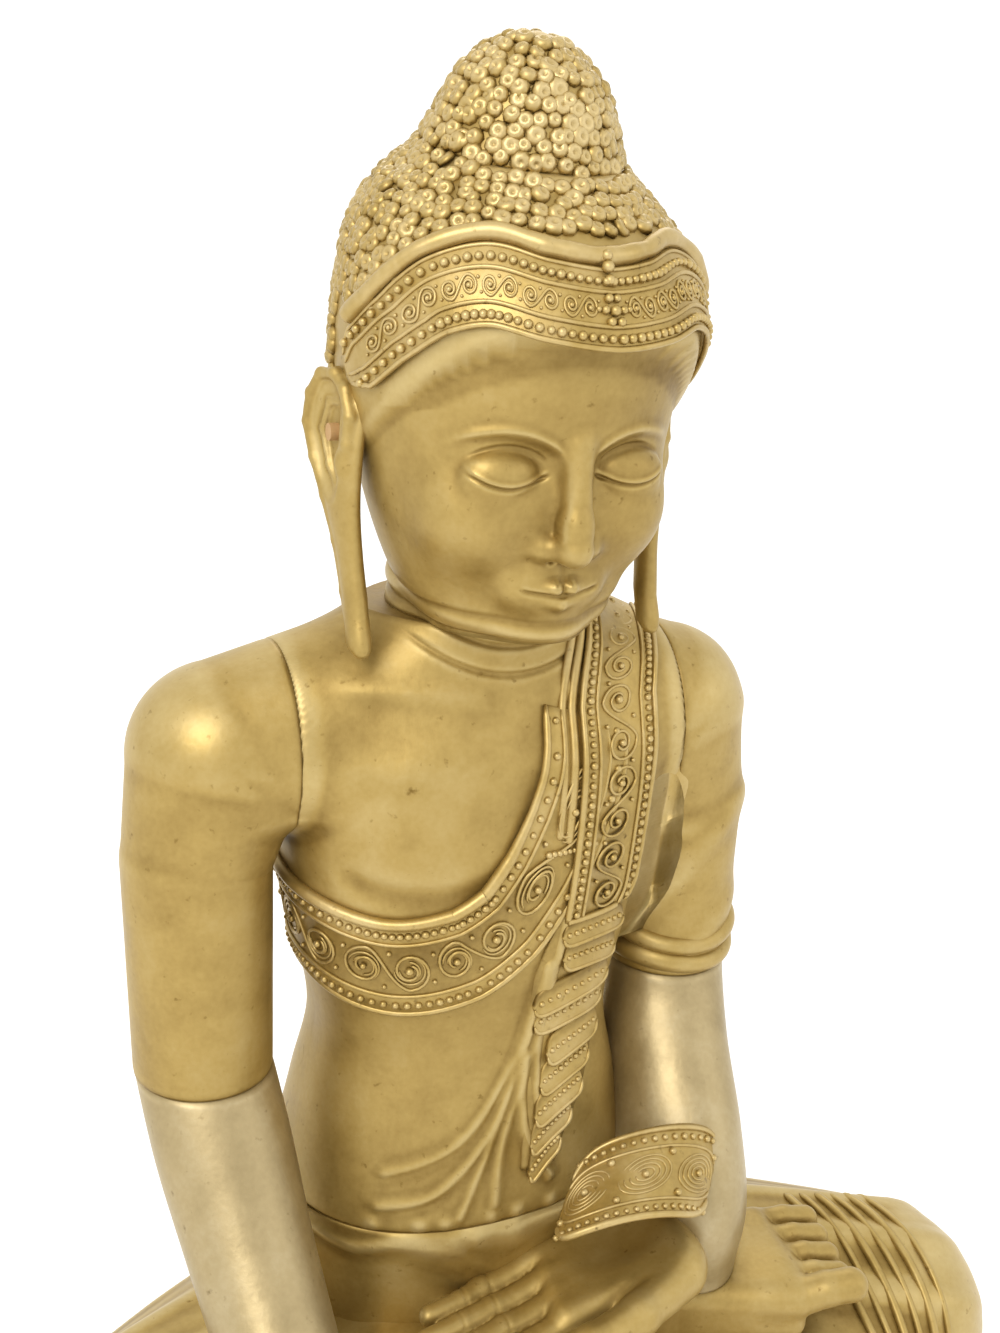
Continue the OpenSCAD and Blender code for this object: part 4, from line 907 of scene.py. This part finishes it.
cap_rows = rows_up(CAP, -62, 126, 1, (HAIR_A + HAIR_B) / 2, PITCH * 0.87)
knot_rows = rows_up(KNOT, 0.06, 0.985, KNOT_TOP - KNOT_FOOT, HAIR_A, PITCH * 0.87)
cap_curls = curls(cap_point, cap_rows, lambda h: glide(CAP, h)[0] * (HAIR_A + HAIR_B) / 2,
                  lambda a, h: h > hairline(np.abs(a)))
make("head_curls_putty", [cap_curls], PUTTY, ["head_curls"])
knot_curls = curls(knot_point, knot_rows, lambda t: glide(KNOT, t)[0] * HAIR_A, lambda a, h: a > -9)
make("topknot_curls_putty", [knot_curls], PUTTY, ["topknot_curls"])


# ---- Hair band ---------------------------------------------------------------------------------
# A strip of lacquer putty laid on the brow while soft: a thick plain roll on top, cords, two rows
# of pressed beads, running scrolls rolled from thin threads and a flower in the middle.
BEAD = turned_shape([(0.30, -0.35), (0.50, 0.0), (0.43, 0.30), (0.22, 0.50), (0.06, 0.55)], 10, 0.0)


def lifted(f, s, v, out):
    """Point of f(s, v, out) and the way out of the skin there, by a step of one millimetre."""
    p = f(s, v, out)
    return p, unit(f(s, v, out + 1.0) - p)


def strip(f, s, profile, narrow=1.0):
    """A flat strip: the profile (place across, height) carried along s; narrow pinches its ends."""
    v, out = np.array(profile).T
    # tone: the raised top a little lighter, the sides and underside darkened as painted shade
    return solid(f(s[:, None], v[None] * np.broadcast_to(narrow, s.shape)[:, None], out[None]),
                 np.where(out > out.max() - 0.5, 0.1, -0.5)[None])


def thread(f, s, v, out, r, sides=8, flat=1.0, tone=0.5):
    """A round thread of radius r along f(s, v, out): c + r (n cos a + b sin a), b = tangent x n."""
    c, n = lifted(f, s, v, out)
    run = unit(np.gradient(c, axis=0))
    b = np.cross(run, n)
    a = np.linspace(0, 2 * np.pi, sides, endpoint=False)[None, :, None]
    end = np.ones(len(c))
    end[[0, -1]], end[[1, -2]] = 0.35, 0.8
    r = (np.broadcast_to(r, len(c)) * end)[:, None, None]
    ring = c[:, None] + r * (flat * n[:, None] * np.cos(a) + b[:, None] * np.sin(a))
    # tone: paler on the outer side, darkened as painted shade on the side facing the skin
    return solid(ring, np.broadcast_to(tone * np.cos(a[..., 0]) + 0.1, ring.shape[:2]))


def beads(f, s, v, out, d):
    """Pressed beads of diameter d, one at each place; sizes vary a little."""
    v = np.broadcast_to(v, np.shape(s))
    p, n = lifted(f, s, v, out)
    scale = d * (1 + rng.normal(0, 0.06, (len(p), 1))) * np.ones((1, 3))
    return scatter(BEAD, p, frames(n, np.array([0.1, 0.2, 1.0])), scale)


def scroll_path(d, r, turns_=1.45, close=0.26, count=30):
    """One thread rolled up at both ends: a wave from the middle to the edge of each roll, then a
    spiral whose radius shrinks from r to a quarter of it; (along, across) in millimetres."""
    u = np.linspace(0, 1, 9)[:-1]
    w = np.linspace(0, 1, count)
    lead = np.stack([d / 2 * u, -r * np.sin(u * np.pi / 2)], 1)
    a = -np.pi / 2 + 2 * np.pi * turns_ * w
    rr = r * (1 - (1 - close) * w ** 0.85)
    roll = np.stack([d / 2 + rr * np.cos(a), rr * np.sin(a)], 1)
    half = np.concatenate([lead, roll])
    return np.concatenate([-half[::-1], half[1:]])


def scrolls(f, middles, d, r, scale, half, out, wire, eye, flips=None):
    """Double scrolls at places along f, a bead in every roll and small beads between them."""
    shells, path = [], scroll_path(d, r)
    for k, s0 in enumerate(middles):
        side = -1 if flips is not None and flips[k] else 1
        shells.append(thread(f, s0 + path[:, 0] / scale, side * path[:, 1] / half, out, wire, 6))
        ends = s0 + np.array([-d / 2, d / 2]) / scale
        shells.append(beads(f, ends, 0.0, out + 0.2, eye))
        gaps = s0 + np.array([0.05, -0.05, 1.0, -1.0]) * d / scale
        across = side * np.array([1, -1, -0.8, 0.8]) * r * 0.86 / half
        shells.append(beads(f, gaps, across, out, eye * 0.62))
    return shells


def band_place(a, v, out=0.0):
    """Band: angle from the front (radians), place across (-1 to 1), height over the skin."""
    a, v, out = np.broadcast_arrays(a, v, out)
    step = 0.026
    slope = (band_mid(a + step) - band_mid(a - step)) / (2 * step * HAIR_A)
    k, w = 1 / np.sqrt(1 + slope ** 2), v * BAND_W / 2
    return from_head(cap_point(a - w * slope * k / HAIR_A, band_mid(a) + w * k, out + 0.6))


STRIP_T, BAND_END = 3.0, np.radians(86)
s = np.linspace(BAND_END, -BAND_END, 260)
pinch = np.sqrt(np.clip(1 - (np.clip(np.abs(s) - BAND_END + 0.15, 0, 1) / 0.155) ** 2, 0.01, 1))
band_edge = [(-1, -2), (1, -2), (1, STRIP_T - 1.2), (0.96, STRIP_T - 0.2), (0.9, STRIP_T),
             (0.3, STRIP_T - 0.3), (-0.3, STRIP_T - 0.3), (-0.9, STRIP_T), (-0.96, STRIP_T - 0.2),
             (-1, STRIP_T - 1.2)]
make("hair_band_strip", [strip(band_place, s, band_edge, pinch)], PUTTY, ["hair_band"])
s = np.linspace(-1.36, 1.36, 240)
roll_r = 5.3 + 0.25 * np.sin(s * 13) + 0.2 * np.sin(s * 29 + 1)
make("hair_band_roll_putty", [thread(band_place, s, 1.24, STRIP_T + 1, roll_r, 14)], PUTTY,
     ["hair_band_roll"])
s = np.linspace(-BAND_END * 0.985, BAND_END * 0.985, 220)
cord_v = [(-1.0, 1.7), (-0.42, 1.3), (0.42, 1.3), (0.93, 1.3)]
ends = np.clip((BAND_END - np.abs(s)) / 0.12, 0.25, 1) ** 0.5
make("hair_band_cord_threads", [thread(band_place, s, v * ends, STRIP_T, r, 7) for v, r in cord_v],
     PUTTY, ["hair_band_cords"])
s = np.linspace(-BAND_END * 0.95, BAND_END * 0.95, 56)
make("hair_band_pressed_beads", [beads(band_place, s, v, STRIP_T + 0.3, 5.0) for v in (-0.72, 0.68)],
     PUTTY, ["hair_band_beads"])
half_turn = np.arange(0.185, 1.42, 0.208)
middles = np.concatenate([half_turn, -half_turn])
make("hair_band_scroll_threads", scrolls(band_place, middles, 10.6, 4.6, 107, 17, STRIP_T, 0.95, 3.0,
                                         middles < 0), PUTTY, ["hair_band_scrolls"])
a = np.linspace(0, 2 * np.pi, 7)[:-1]
flower = [beads(band_place, 5.6 * np.cos(a) / 107, 5.6 * np.sin(a) / 17, STRIP_T + 0.4, 5.4),
          beads(band_place, np.array([0.0]), 0.0, STRIP_T + 1.0, 6.4),
          beads(band_place, np.array([0.0, 0, 0]), np.array([0.72, 1.06, 1.34]),
                np.array([3.6, 6.5, 9.5]), 6.6),
          beads(band_place, np.array([-0.09, 0.09]), 0.0, STRIP_T + 0.2, 3.4)]
make("hair_band_flower_beads", flower, PUTTY, ["hair_band_flower"])


# ---- Chest border ------------------------------------------------------------------------------
# The hem of the robe, laid on the trunk as a strip of putty: it runs from the left shoulder round
# the back, under the bare right arm and up over the left breast to under the panel. Big scrolls
# fill it between bead rows.
# degrees from the front, height of the middle line over the waist seam
BORDER = [[-225, 350], [-180, 262], [-150, 226], [-115, 200], [-80, 193], [-48, 184], [-21, 193], [-4, 212],
          [8, 240], [18, 272], [26, 306], [36, 366]]
BORDER_W, BORDER_START, BORDER_STOP = 64, -214, 16


def border_place(a, v, out=0.0):
    """Border: degrees from the front, place across (-1 to 1), height over the trunk's skin."""
    a, v, out = np.broadcast_arrays(a, v, out)
    slope = (glide(BORDER, a + 2)[0] - glide(BORDER, a - 2)[0]) / (np.radians(4) * 105)
    k, w = 1 / np.sqrt(1 + slope ** 2), v * BORDER_W / 2
    b, z = np.radians(a - np.degrees(w * slope * k / 105)), SEAM_Z + glide(BORDER, a)[0] + w * k
    way = np.stack([np.sin(b), -np.cos(b), 0 * b], -1)
    eye = np.stack([0 * b, 0 * b + BODY_Y, z], -1)
    return cast(trunk_form, eye, way, 170, 40) + way * out[..., None]


s = np.linspace(BORDER_STOP + 15, BORDER_START, 300)
border_edge = [(-1, -2), (1, -2), (1, 1.8), (0.97, 3), (0.6, 3), (0.55, 2.2), (-0.55, 2.2), (-0.6, 3),
               (-0.97, 3), (-1, 1.8)]
make("chest_border_strip", [strip(border_place, s, border_edge)], PUTTY, ["chest_border"])
s = np.linspace(BORDER_START, BORDER_STOP + 15, 300)
border_cords = [thread(border_place, s, v, out, r, 10) for v, out, r in
                ((-1.0, 2.0, 2.2), (-0.58, 3, 1.3), (0.58, 3, 1.3), (1.02, 2.6, 4.2 - 1.6 * ease(2, 20, s)))]
make("chest_border_threads", border_cords, PUTTY, ["chest_border_cords"])
s = np.linspace(BORDER_START + 1, BORDER_STOP + 14, 77)
make("chest_border_pressed_beads", [beads(border_place, s, v, 2.8, 5.2) for v in (-0.79, 0.78)],
     PUTTY, ["chest_border_beads"])
middles = BORDER_STOP - 3 - 31.0 * np.arange(7)
border_scrolls = scrolls(border_place, middles, 29, 14.2, np.radians(1) * 112, 32, 2.6, 1.15, 5.4)
for shift in (-1, 1):
    for extra in (6.5, 9.8):
        ring = np.linspace(0, 1.5 * np.pi, 22)
        for k in middles:
            at = k + shift * 14.5 / (np.radians(1) * 112)
            turn_ = ring * -shift + np.pi / 2 * shift
            border_scrolls.append(thread(border_place, at + extra * np.cos(turn_) / 1.955,
                                         extra * np.sin(turn_) / 32, 2.6, 0.8, 6))
make("chest_border_scroll_threads", border_scrolls, PUTTY, ["chest_border_scrolls"])


# ---- Shoulder panel ----------------------------------------------------------------------------
# The folded shawl over the left shoulder, a thick strip of putty with a rounded lower corner,
# edged by cords and beads, its field filled with scrolls.
PANEL_X, PANEL_FOOT, PANEL_LEN, PANEL_ARC, PANEL_W, PANEL_T = 62, 206, 256, 136, 62, 5.0


def panel_place(s, v, out=0.0):
    """Panel: millimetres up from its foot, place across (-1 to 1), height over the skin, which ends
    at the neck seam. It leans out while it goes up the chest, then turns back over the shoulder."""
    s, v, out = np.broadcast_arrays(s, v, out)
    up = np.minimum(s, PANEL_ARC)
    over = np.clip((s - PANEL_ARC) / (PANEL_LEN - PANEL_ARC), 0, 1)
    x = PANEL_X + 10 * up / PANEL_ARC + 24 * over + v * PANEL_W / 2
    eye = np.stack([x, 0 * s + BODY_Y, SEAM_Z + PANEL_FOOT + up], -1)
    way = np.stack([0 * s, -np.cos(np.radians(95) * over), np.sin(np.radians(95) * over)], -1)
    skin = cast(lambda q: np.maximum(body_form(q), q[..., 2] - NECK_Z), eye, way, 170, 40)
    return skin + way * out[..., None]


s = np.linspace(0, PANEL_LEN, 220)
foot = np.sqrt(np.clip(1 - (np.clip(16 - s, 0, 16) / 17) ** 2, 0.02, 1))
panel_edge = [(-1, -2), (1, -2), (1, 3.4), (0.97, 4.8), (0.62, 5), (0.58, 4.2), (-0.58, 4.2), (-0.62, 5),
              (-0.97, 4.8), (-1, 3.4)]
across, high = np.array(panel_edge).T
across = across * np.where(across > 0, foot[:, None] * 0.62 + 0.38, 1)
panel = panel_place(s[:, None], across, high)
make("shoulder_panel_strip", [solid(panel)], PUTTY, ["shoulder_panel"])
s = np.linspace(1, PANEL_LEN, 200)
bend = np.where(s < 16, np.sqrt(np.clip(1 - ((16 - s) / 17) ** 2, 0.02, 1)) * 0.62 + 0.38, 1)
make("shoulder_panel_threads",
     [thread(panel_place, s, v * (bend if v > 0 else 1), PANEL_T, r, 8)
      for v, r in ((-0.97, 2.2), (-0.6, 1.3), (0.6, 1.3), (0.97, 2.2))]
     + [thread(panel_place, 1 + 0 * s, np.linspace(-0.97, 0.4, 200), PANEL_T, 2.2, 8)]
     + [thread(panel_place, np.linspace(first, last, 120), v, 1.0, r, 10, 0.9, 0.3)
        for v, r, first, last in ((-1.17, 3.4, 54, 236), (-1.40, 2.8, 58, 214))],
     PUTTY, ["shoulder_panel_cords"])
s = np.linspace(5, PANEL_LEN, 42)
bead_bend = np.where(s < 16, 0.86, 1)
make("shoulder_panel_pressed_beads", [beads(panel_place, s, v * (bead_bend if v > 0 else 1), PANEL_T, 5.2)
                                      for v in (-0.78, 0.78)],
     PUTTY, ["shoulder_panel_beads"])
panel_scrolls = scrolls(panel_place, 26 + 49.0 * np.arange(5), 24.5, 11.6, 1, 27, PANEL_T - 0.6, 1.1, 5.0,
                        np.arange(5) % 2 == 1)
make("shoulder_panel_scroll_threads", panel_scrolls, PUTTY, ["shoulder_panel_scrolls"])


# ---- Shawl ends --------------------------------------------------------------------------------
# Below the panel the shawl hangs in a stack of folded hems over a plain sheet, with a row of beads on each;
# another plain sheet closes the gap between the chest and the left arm. The sheet under the hems and the
# tucked upper edge of each hem are darkened as painted shade.
def shawl_place(x, z, out=0.0):
    """Point in front of the trunk's middle plane at x and a height over the waist seam."""
    x, z, out = np.broadcast_arrays(x, z, out)
    eye = np.stack([x, 0 * x + BODY_Y, SEAM_Z + z], -1)
    way = np.array([0, -1.0, 0])
    return cast(trunk_form, eye, np.broadcast_to(way, eye.shape), 170, 40) + way * out[..., None]


# height over the waist seam, left end, right end, drop from left to right, half height
HEMS = [[196, 30, 84, 1, 9], [177, 33, 80, 4, 11], [153, 14, 76, -9, 11], [137, 16, 74, -5, 11],
        [115, 27, 72, -9, 12], [96, 22, 64, -12, 11], [78, 17, 56, -15, 11], [60, 14, 46, -18, 11],
        [43, 12, 36, -20, 10]]
shawl = []
z = np.linspace(212, 34, 60)
left, right = glide([[0, 4, 24], [40, 8, 36], [90, 11, 64], [130, 13, 74], [170, 14, 80], [214, 28, 86]], z)
v = np.array([-1.0, -0.97, -0.6, 0, 0.6, 0.97, 1.0])
under = shawl_place((left + right)[:, None] / 2 + v * (right - left)[:, None] / 2, z[:, None],
                    np.array([-3, 2.2, 2.6, 2.6, 2.6, 2.2, -3])[None])
# the sheet under the hems is darkened all over as painted shade
shawl.append(solid(under, -0.5))
hem_v, hem_out = np.array([(-1, -3), (1, -3), (1, 0.6), (0.75, 1.6), (0.2, 2.0), (-0.35, 2.4),
                           (-0.75, 4.0), (-1, 3.2)]).T
for k, (z0, x0, x1, drop, half) in enumerate(HEMS):
    x = np.linspace(x0, x1, 50)
    middle = z0 + drop * (0.5 - (x - x0) / (x1 - x0)) + 2.0 * np.sin((x - x0) / (x1 - x0) * np.pi)
    pinch = np.sqrt(np.clip(1 - (np.abs(2 * (x - x0) / (x1 - x0) - 1)) ** 8, 0.02, 1))
    lift = 2.5 + 1.2 * ((k % 2) == 0)
    fold = shawl_place(x[:, None], middle[:, None] + hem_v * half * pinch[:, None], lift + hem_out)
    # the upper edge of each hem, tucked under the one above, is darkened as painted shade
    shawl.append(solid(fold, np.where(hem_v > 0.5, -0.8, 0.2)[None]))
    shawl.append(beads(shawl_place, x[4:-3:5], middle[4:-3:5] + 0.5, lift + 1.6, 4.0))
    shawl.append(thread(shawl_place, x, middle - half * 0.82 * pinch, lift + 3.0, 1.7, 8))
shawl.append(beads(panel_place, np.full(6, 50.0), np.linspace(-1.62, -1.02, 6), 2.0, 4.6))


def robe_place(x, z, out=0.0):
    """Point on the robe stretched from the chest to the left arm, in front at x and height z."""
    x, z, out = np.broadcast_arrays(x, z, out)
    eye = np.stack([x, 0 * x + BODY_Y, SEAM_Z + z], -1)
    way = np.broadcast_to(np.array([0, -1.0, 0]), eye.shape)
    p = cast(lambda q: join(trunk_form(q), arm_form(q, 1, LEFT_ELBOW_Z), 34), eye, way, 170, 40)
    return p + way * out[..., None]


z = np.linspace(318, 158, 70)
v = np.concatenate([[-1], np.linspace(-0.96, 0.96, 21), [1]])
left, right = glide([[150, 92, 132], [200, 88, 146], [260, 90, 150], [320, 96, 152]], z)
high = 0.8 - 5 * v[None] ** 4 - 6 * (1 - ease(158, 196, z) * (1 - ease(268, 318, z)))[:, None]
robe = robe_place((left + right)[:, None] / 2 + v * (right - left)[:, None] / 2, z[:, None], high)
shawl.append(solid(robe, 0.5))
make("shawl_hems", shawl, PUTTY, ["shawl_pleats"])


# ---- Cuff --------------------------------------------------------------------------------------
# The end of the wide left sleeve, a rounded sheet over the wrist with coiled threads, a bead row
# and a cord along its edge.
def cuff_place(u, v, out=0.0):
    """Cuff: u along the forearm, v across it (0 to 1), height over the sheet."""
    u, v, out = np.broadcast_arrays(u, v, out)
    a = np.radians(mix(-74, 58, v))
    c = np.array([112.0, 0, 311]) + u[..., None] * np.array([-46.0, -50, -24])
    n = np.stack([-0.25 + 0.55 * np.sin(a), -0.80 * np.cos(a), 0.58 * np.cos(a) - 0.35 * np.sin(a)], -1)
    bow = np.stack([46 * np.sin(a), 0 * a, 26 * np.cos(a) - 26], -1)
    return c + bow + n * ((38 + 4 * u) * 0.6 + out)[..., None]


v = np.linspace(0, 1, 90)
round_end = np.sqrt(np.clip(1 - np.abs(2 * v - 1) ** 7, 0.03, 1))
along, high = np.array([(0, -3), (1, -3), (1, 1.6), (0.97, 3.2), (0.9, 3.6), (0.82, 3.0), (0.2, 3.0),
                        (0.1, 3.4), (0, 2)]).T
sheet = cuff_place(0.5 + (along - 0.5) * round_end[:, None], v[:, None], high)
make("cuff_sheet", [solid(sheet)], PUTTY, ["cuff_panel"])
v = np.linspace(0.02, 0.98, 110)
round_end = np.sqrt(np.clip(1 - np.abs(2 * v - 1) ** 7, 0.05, 1))
make("cuff_threads", [thread(cuff_place, 0.5 + (u - 0.5) * round_end, v, 3.2, r, 8)
                      for u, r in ((0.04, 2.0), (0.24, 1.2), (0.8, 1.2), (0.965, 2.6))],
     PUTTY, ["cuff_cords"])
coil = []
for v0 in (0.17, 0.5, 0.83):
    for r in (5.0, 8.2, 11.4, 14.4):
        a = np.linspace(0.3, 2 * np.pi - 0.25, 34) + v0 * 9
        coil.append(thread(cuff_place, 0.52 + r * np.cos(a) / 72, v0 + r * np.sin(a) / 104, 3.0, 0.9, 6))
    coil.append(beads(cuff_place, np.array([0.52, 0.30, 0.74]),
                      np.array([v0, v0 + 0.12, v0 - 0.12]), 3.2, 5.4))
for u, count, out, d in ((0.14, 17, 3.2, 4.6), (0.885, 19, 3.4, 4.4)):
    coil.append(beads(cuff_place, np.full(count, u), np.linspace(0.05, 0.95, count), out, d))
make("cuff_coils", coil, PUTTY, ["cuff_scrolls"])


# ---- Sleeve rolls ------------------------------------------------------------------------------
# Two rolls of cloth round the left elbow, modelled in putty over the seam.
def roll_ring(z0, r, thick, lean):
    """A ring of radius r round the elbow, its thickness changing softly round the arm."""
    a = np.linspace(0, 2 * np.pi, 120, endpoint=False)
    b = np.linspace(0, 2 * np.pi, 20, endpoint=False)[None]
    swell = (thick * (1 + 0.10 * np.sin(2 * a + lean)))[:, None]
    rr = r + swell * np.cos(b)
    wave = 2.2 * np.sin(a * 2 + lean)[:, None]
    z = z0 + wave + swell * np.sin(b) + 0.10 * (rr * np.sin(a)[:, None])
    p = np.stack([ARMS_X + ELBOW_X + rr * np.cos(a)[:, None], BODY_Y - 8 + rr * np.sin(a)[:, None], z], -1)
    i = np.arange(p.shape[0] * p.shape[1]).reshape(p.shape[:2])
    j, k = np.roll(i, -1, 1), np.roll(i, -1, 0)
    quads = np.stack([i, j, np.roll(j, -1, 0), k], -1).reshape(-1, 4)
    # tone: paler on the outer side, darkened as painted shade on the side against the arm
    tone = np.broadcast_to(0.6 * np.cos(b) - 0.1, p.shape[:2]).ravel()
    return p.reshape(-1, 3), quads, np.zeros((0, 4), int), tone


make("sleeve_roll_rings",
     [roll_ring(LEFT_ELBOW_Z + 14, 42, 7.4, 0.4), roll_ring(LEFT_ELBOW_Z + 29, 42, 7.0, 1.9)],
     CARVED, ["sleeve_rolls"])


# ---- Hem folds ---------------------------------------------------------------------------------
# Ridges of the robe's hem over each shin: six flat threads of putty a side, closed at both ends.
def shin_place(x, a, out=0.0):
    """Point on the legs at x and an angle round the leg, from in front (0) over the top."""
    x, a, out = np.broadcast_arrays(x, a, out)
    eye = np.stack([x, 0 * x + 10, 0 * x + 70], -1)
    way = unit(np.stack([0.12 * np.sign(x), -np.cos(a), np.sin(a)], -1))
    p = cast(leg_form, eye, way, 300, 60)
    return p + way * out[..., None]


hem = []
for side in (-1, 1):
    for k in range(6):
        a = np.radians(np.linspace(-14, 112, 80))
        x = side * (LAP_HIGH[0] + 1 - 166 + 14 * k + 10 * np.sin(a * 1.3))
        hem.append(thread(shin_place, x, a, 1.5, 3.4 - 0.8 * (k % 2), 10, 0.9, 0.35))
make("leg_hem_folds", hem, CARVED, ["leg_folds"])


# ---- Dowels and pegs ---------------------------------------------------------------------------
# Turned hardwood dowels, glued into blind holes; the frame's own meshes stand for them.
def bare_wood():
    """Plain wood: long streaks of darker grain drawn out along one way."""
    material = bpy.data.materials.new("bare_wood")
    material.use_nodes = True
    tree = material.node_tree
    shader = tree.nodes["Principled BSDF"]
    at = Wire(tree, None).node("TexCoord", out=3)
    grain = at.noise(90, 5, (1, 1, 0.12))
    colour = grain.mixed((0.30, 0.17, 0.07, 1), (0.50, 0.33, 0.16, 1))
    tilt = at.node("Bump", {}, {"Strength": 0.3, "Distance": 0.0005, "Height": grain})
    tree.links.new(colour.socket, shader.inputs["Base Color"])
    tree.links.new((0.55 + grain * 0.2).socket, shader.inputs["Roughness"])
    tree.links.new(tilt.socket, shader.inputs["Normal"])
    return material


WOOD = bare_wood()
for node in ("waist_dowels", "neck_dowel", "topknot_dowel", "shoulder_dowels", "elbow_dowels", "wrist_dowels",
             "ear_pegs", "foot_pegs"):
    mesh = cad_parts[node].data
    mesh.materials.clear()
    mesh.materials.append(WOOD)


# ---- Stage -------------------------------------------------------------------------------------
# A plain pale floor, a pale room and three soft lamps; the camera stands before the figure's right.
def flat_paint(name, colour, rough):
    material = bpy.data.materials.new(name)
    material.use_nodes = True
    shader = material.node_tree.nodes["Principled BSDF"]
    shader.inputs["Base Color"].default_value = (*colour, 1)
    shader.inputs["Roughness"].default_value = rough
    return material


bpy.ops.mesh.primitive_plane_add(size=120, location=(0, 0, 0))
floor = bpy.context.object
floor.name = "floor"
floor.data.materials.append(flat_paint("pale_floor", (0.97, 0.97, 0.97), 0.9))


def aim(thing, place, back, up):
    """Puts a lamp or the camera at a place, looking along -back with up on top."""
    side = unit(np.cross(up, back))
    turned = np.eye(4)
    turned[:3, :3] = np.stack([side, np.cross(back, side), back], 1)
    turned[:3, 3] = place
    thing.matrix_world = Matrix(turned.tolist())


def lamp(name, place, target, width, power, colour=(1, 1, 1)):
    """A square soft lamp of the given width in metres, its -Z turned to the point it lights."""
    light = bpy.data.lights.new(name, "AREA")
    light.shape, light.size, light.energy, light.color = "SQUARE", width, power, colour
    thing = bpy.data.objects.new(name, light)
    bpy.context.scene.collection.objects.link(thing)
    aim(thing, place, unit(np.array(place, float) - np.array(target, float)), [0, 0, 1.0])


lamp("key", (-1.5, -1.3, 2.3), (0, 0.05, 0.6), 1.3, 30, (1, 0.98, 0.95))
lamp("fill", (1.9, -1.7, 1.6), (0, 0.05, 0.6), 1.6, 5, (0.97, 0.98, 1))
lamp("back", (0.9, 1.8, 2.2), (0, 0.05, 0.7), 1.4, 8)
world = bpy.data.worlds.new("room")
bpy.context.scene.world = world
world.use_nodes = True
world.node_tree.nodes["Background"].inputs["Color"].default_value = (1, 1, 1, 1)
world.node_tree.nodes["Background"].inputs["Strength"].default_value = 1.04
bpy.context.scene.view_settings.view_transform = "Standard"
bpy.context.scene.view_settings.look = "Medium High Contrast"

camera = bpy.data.objects.new("camera", bpy.data.cameras.new("camera"))
bpy.context.scene.collection.objects.link(camera)
aim(camera, (-0.3849, -0.7165, 0.9187), -unit(np.array([0.422, 0.850, -0.316])), [0.087, 0.309, 0.947])
camera.data.lens, camera.data.sensor_width = 40.13, 36
bpy.context.scene.camera = camera
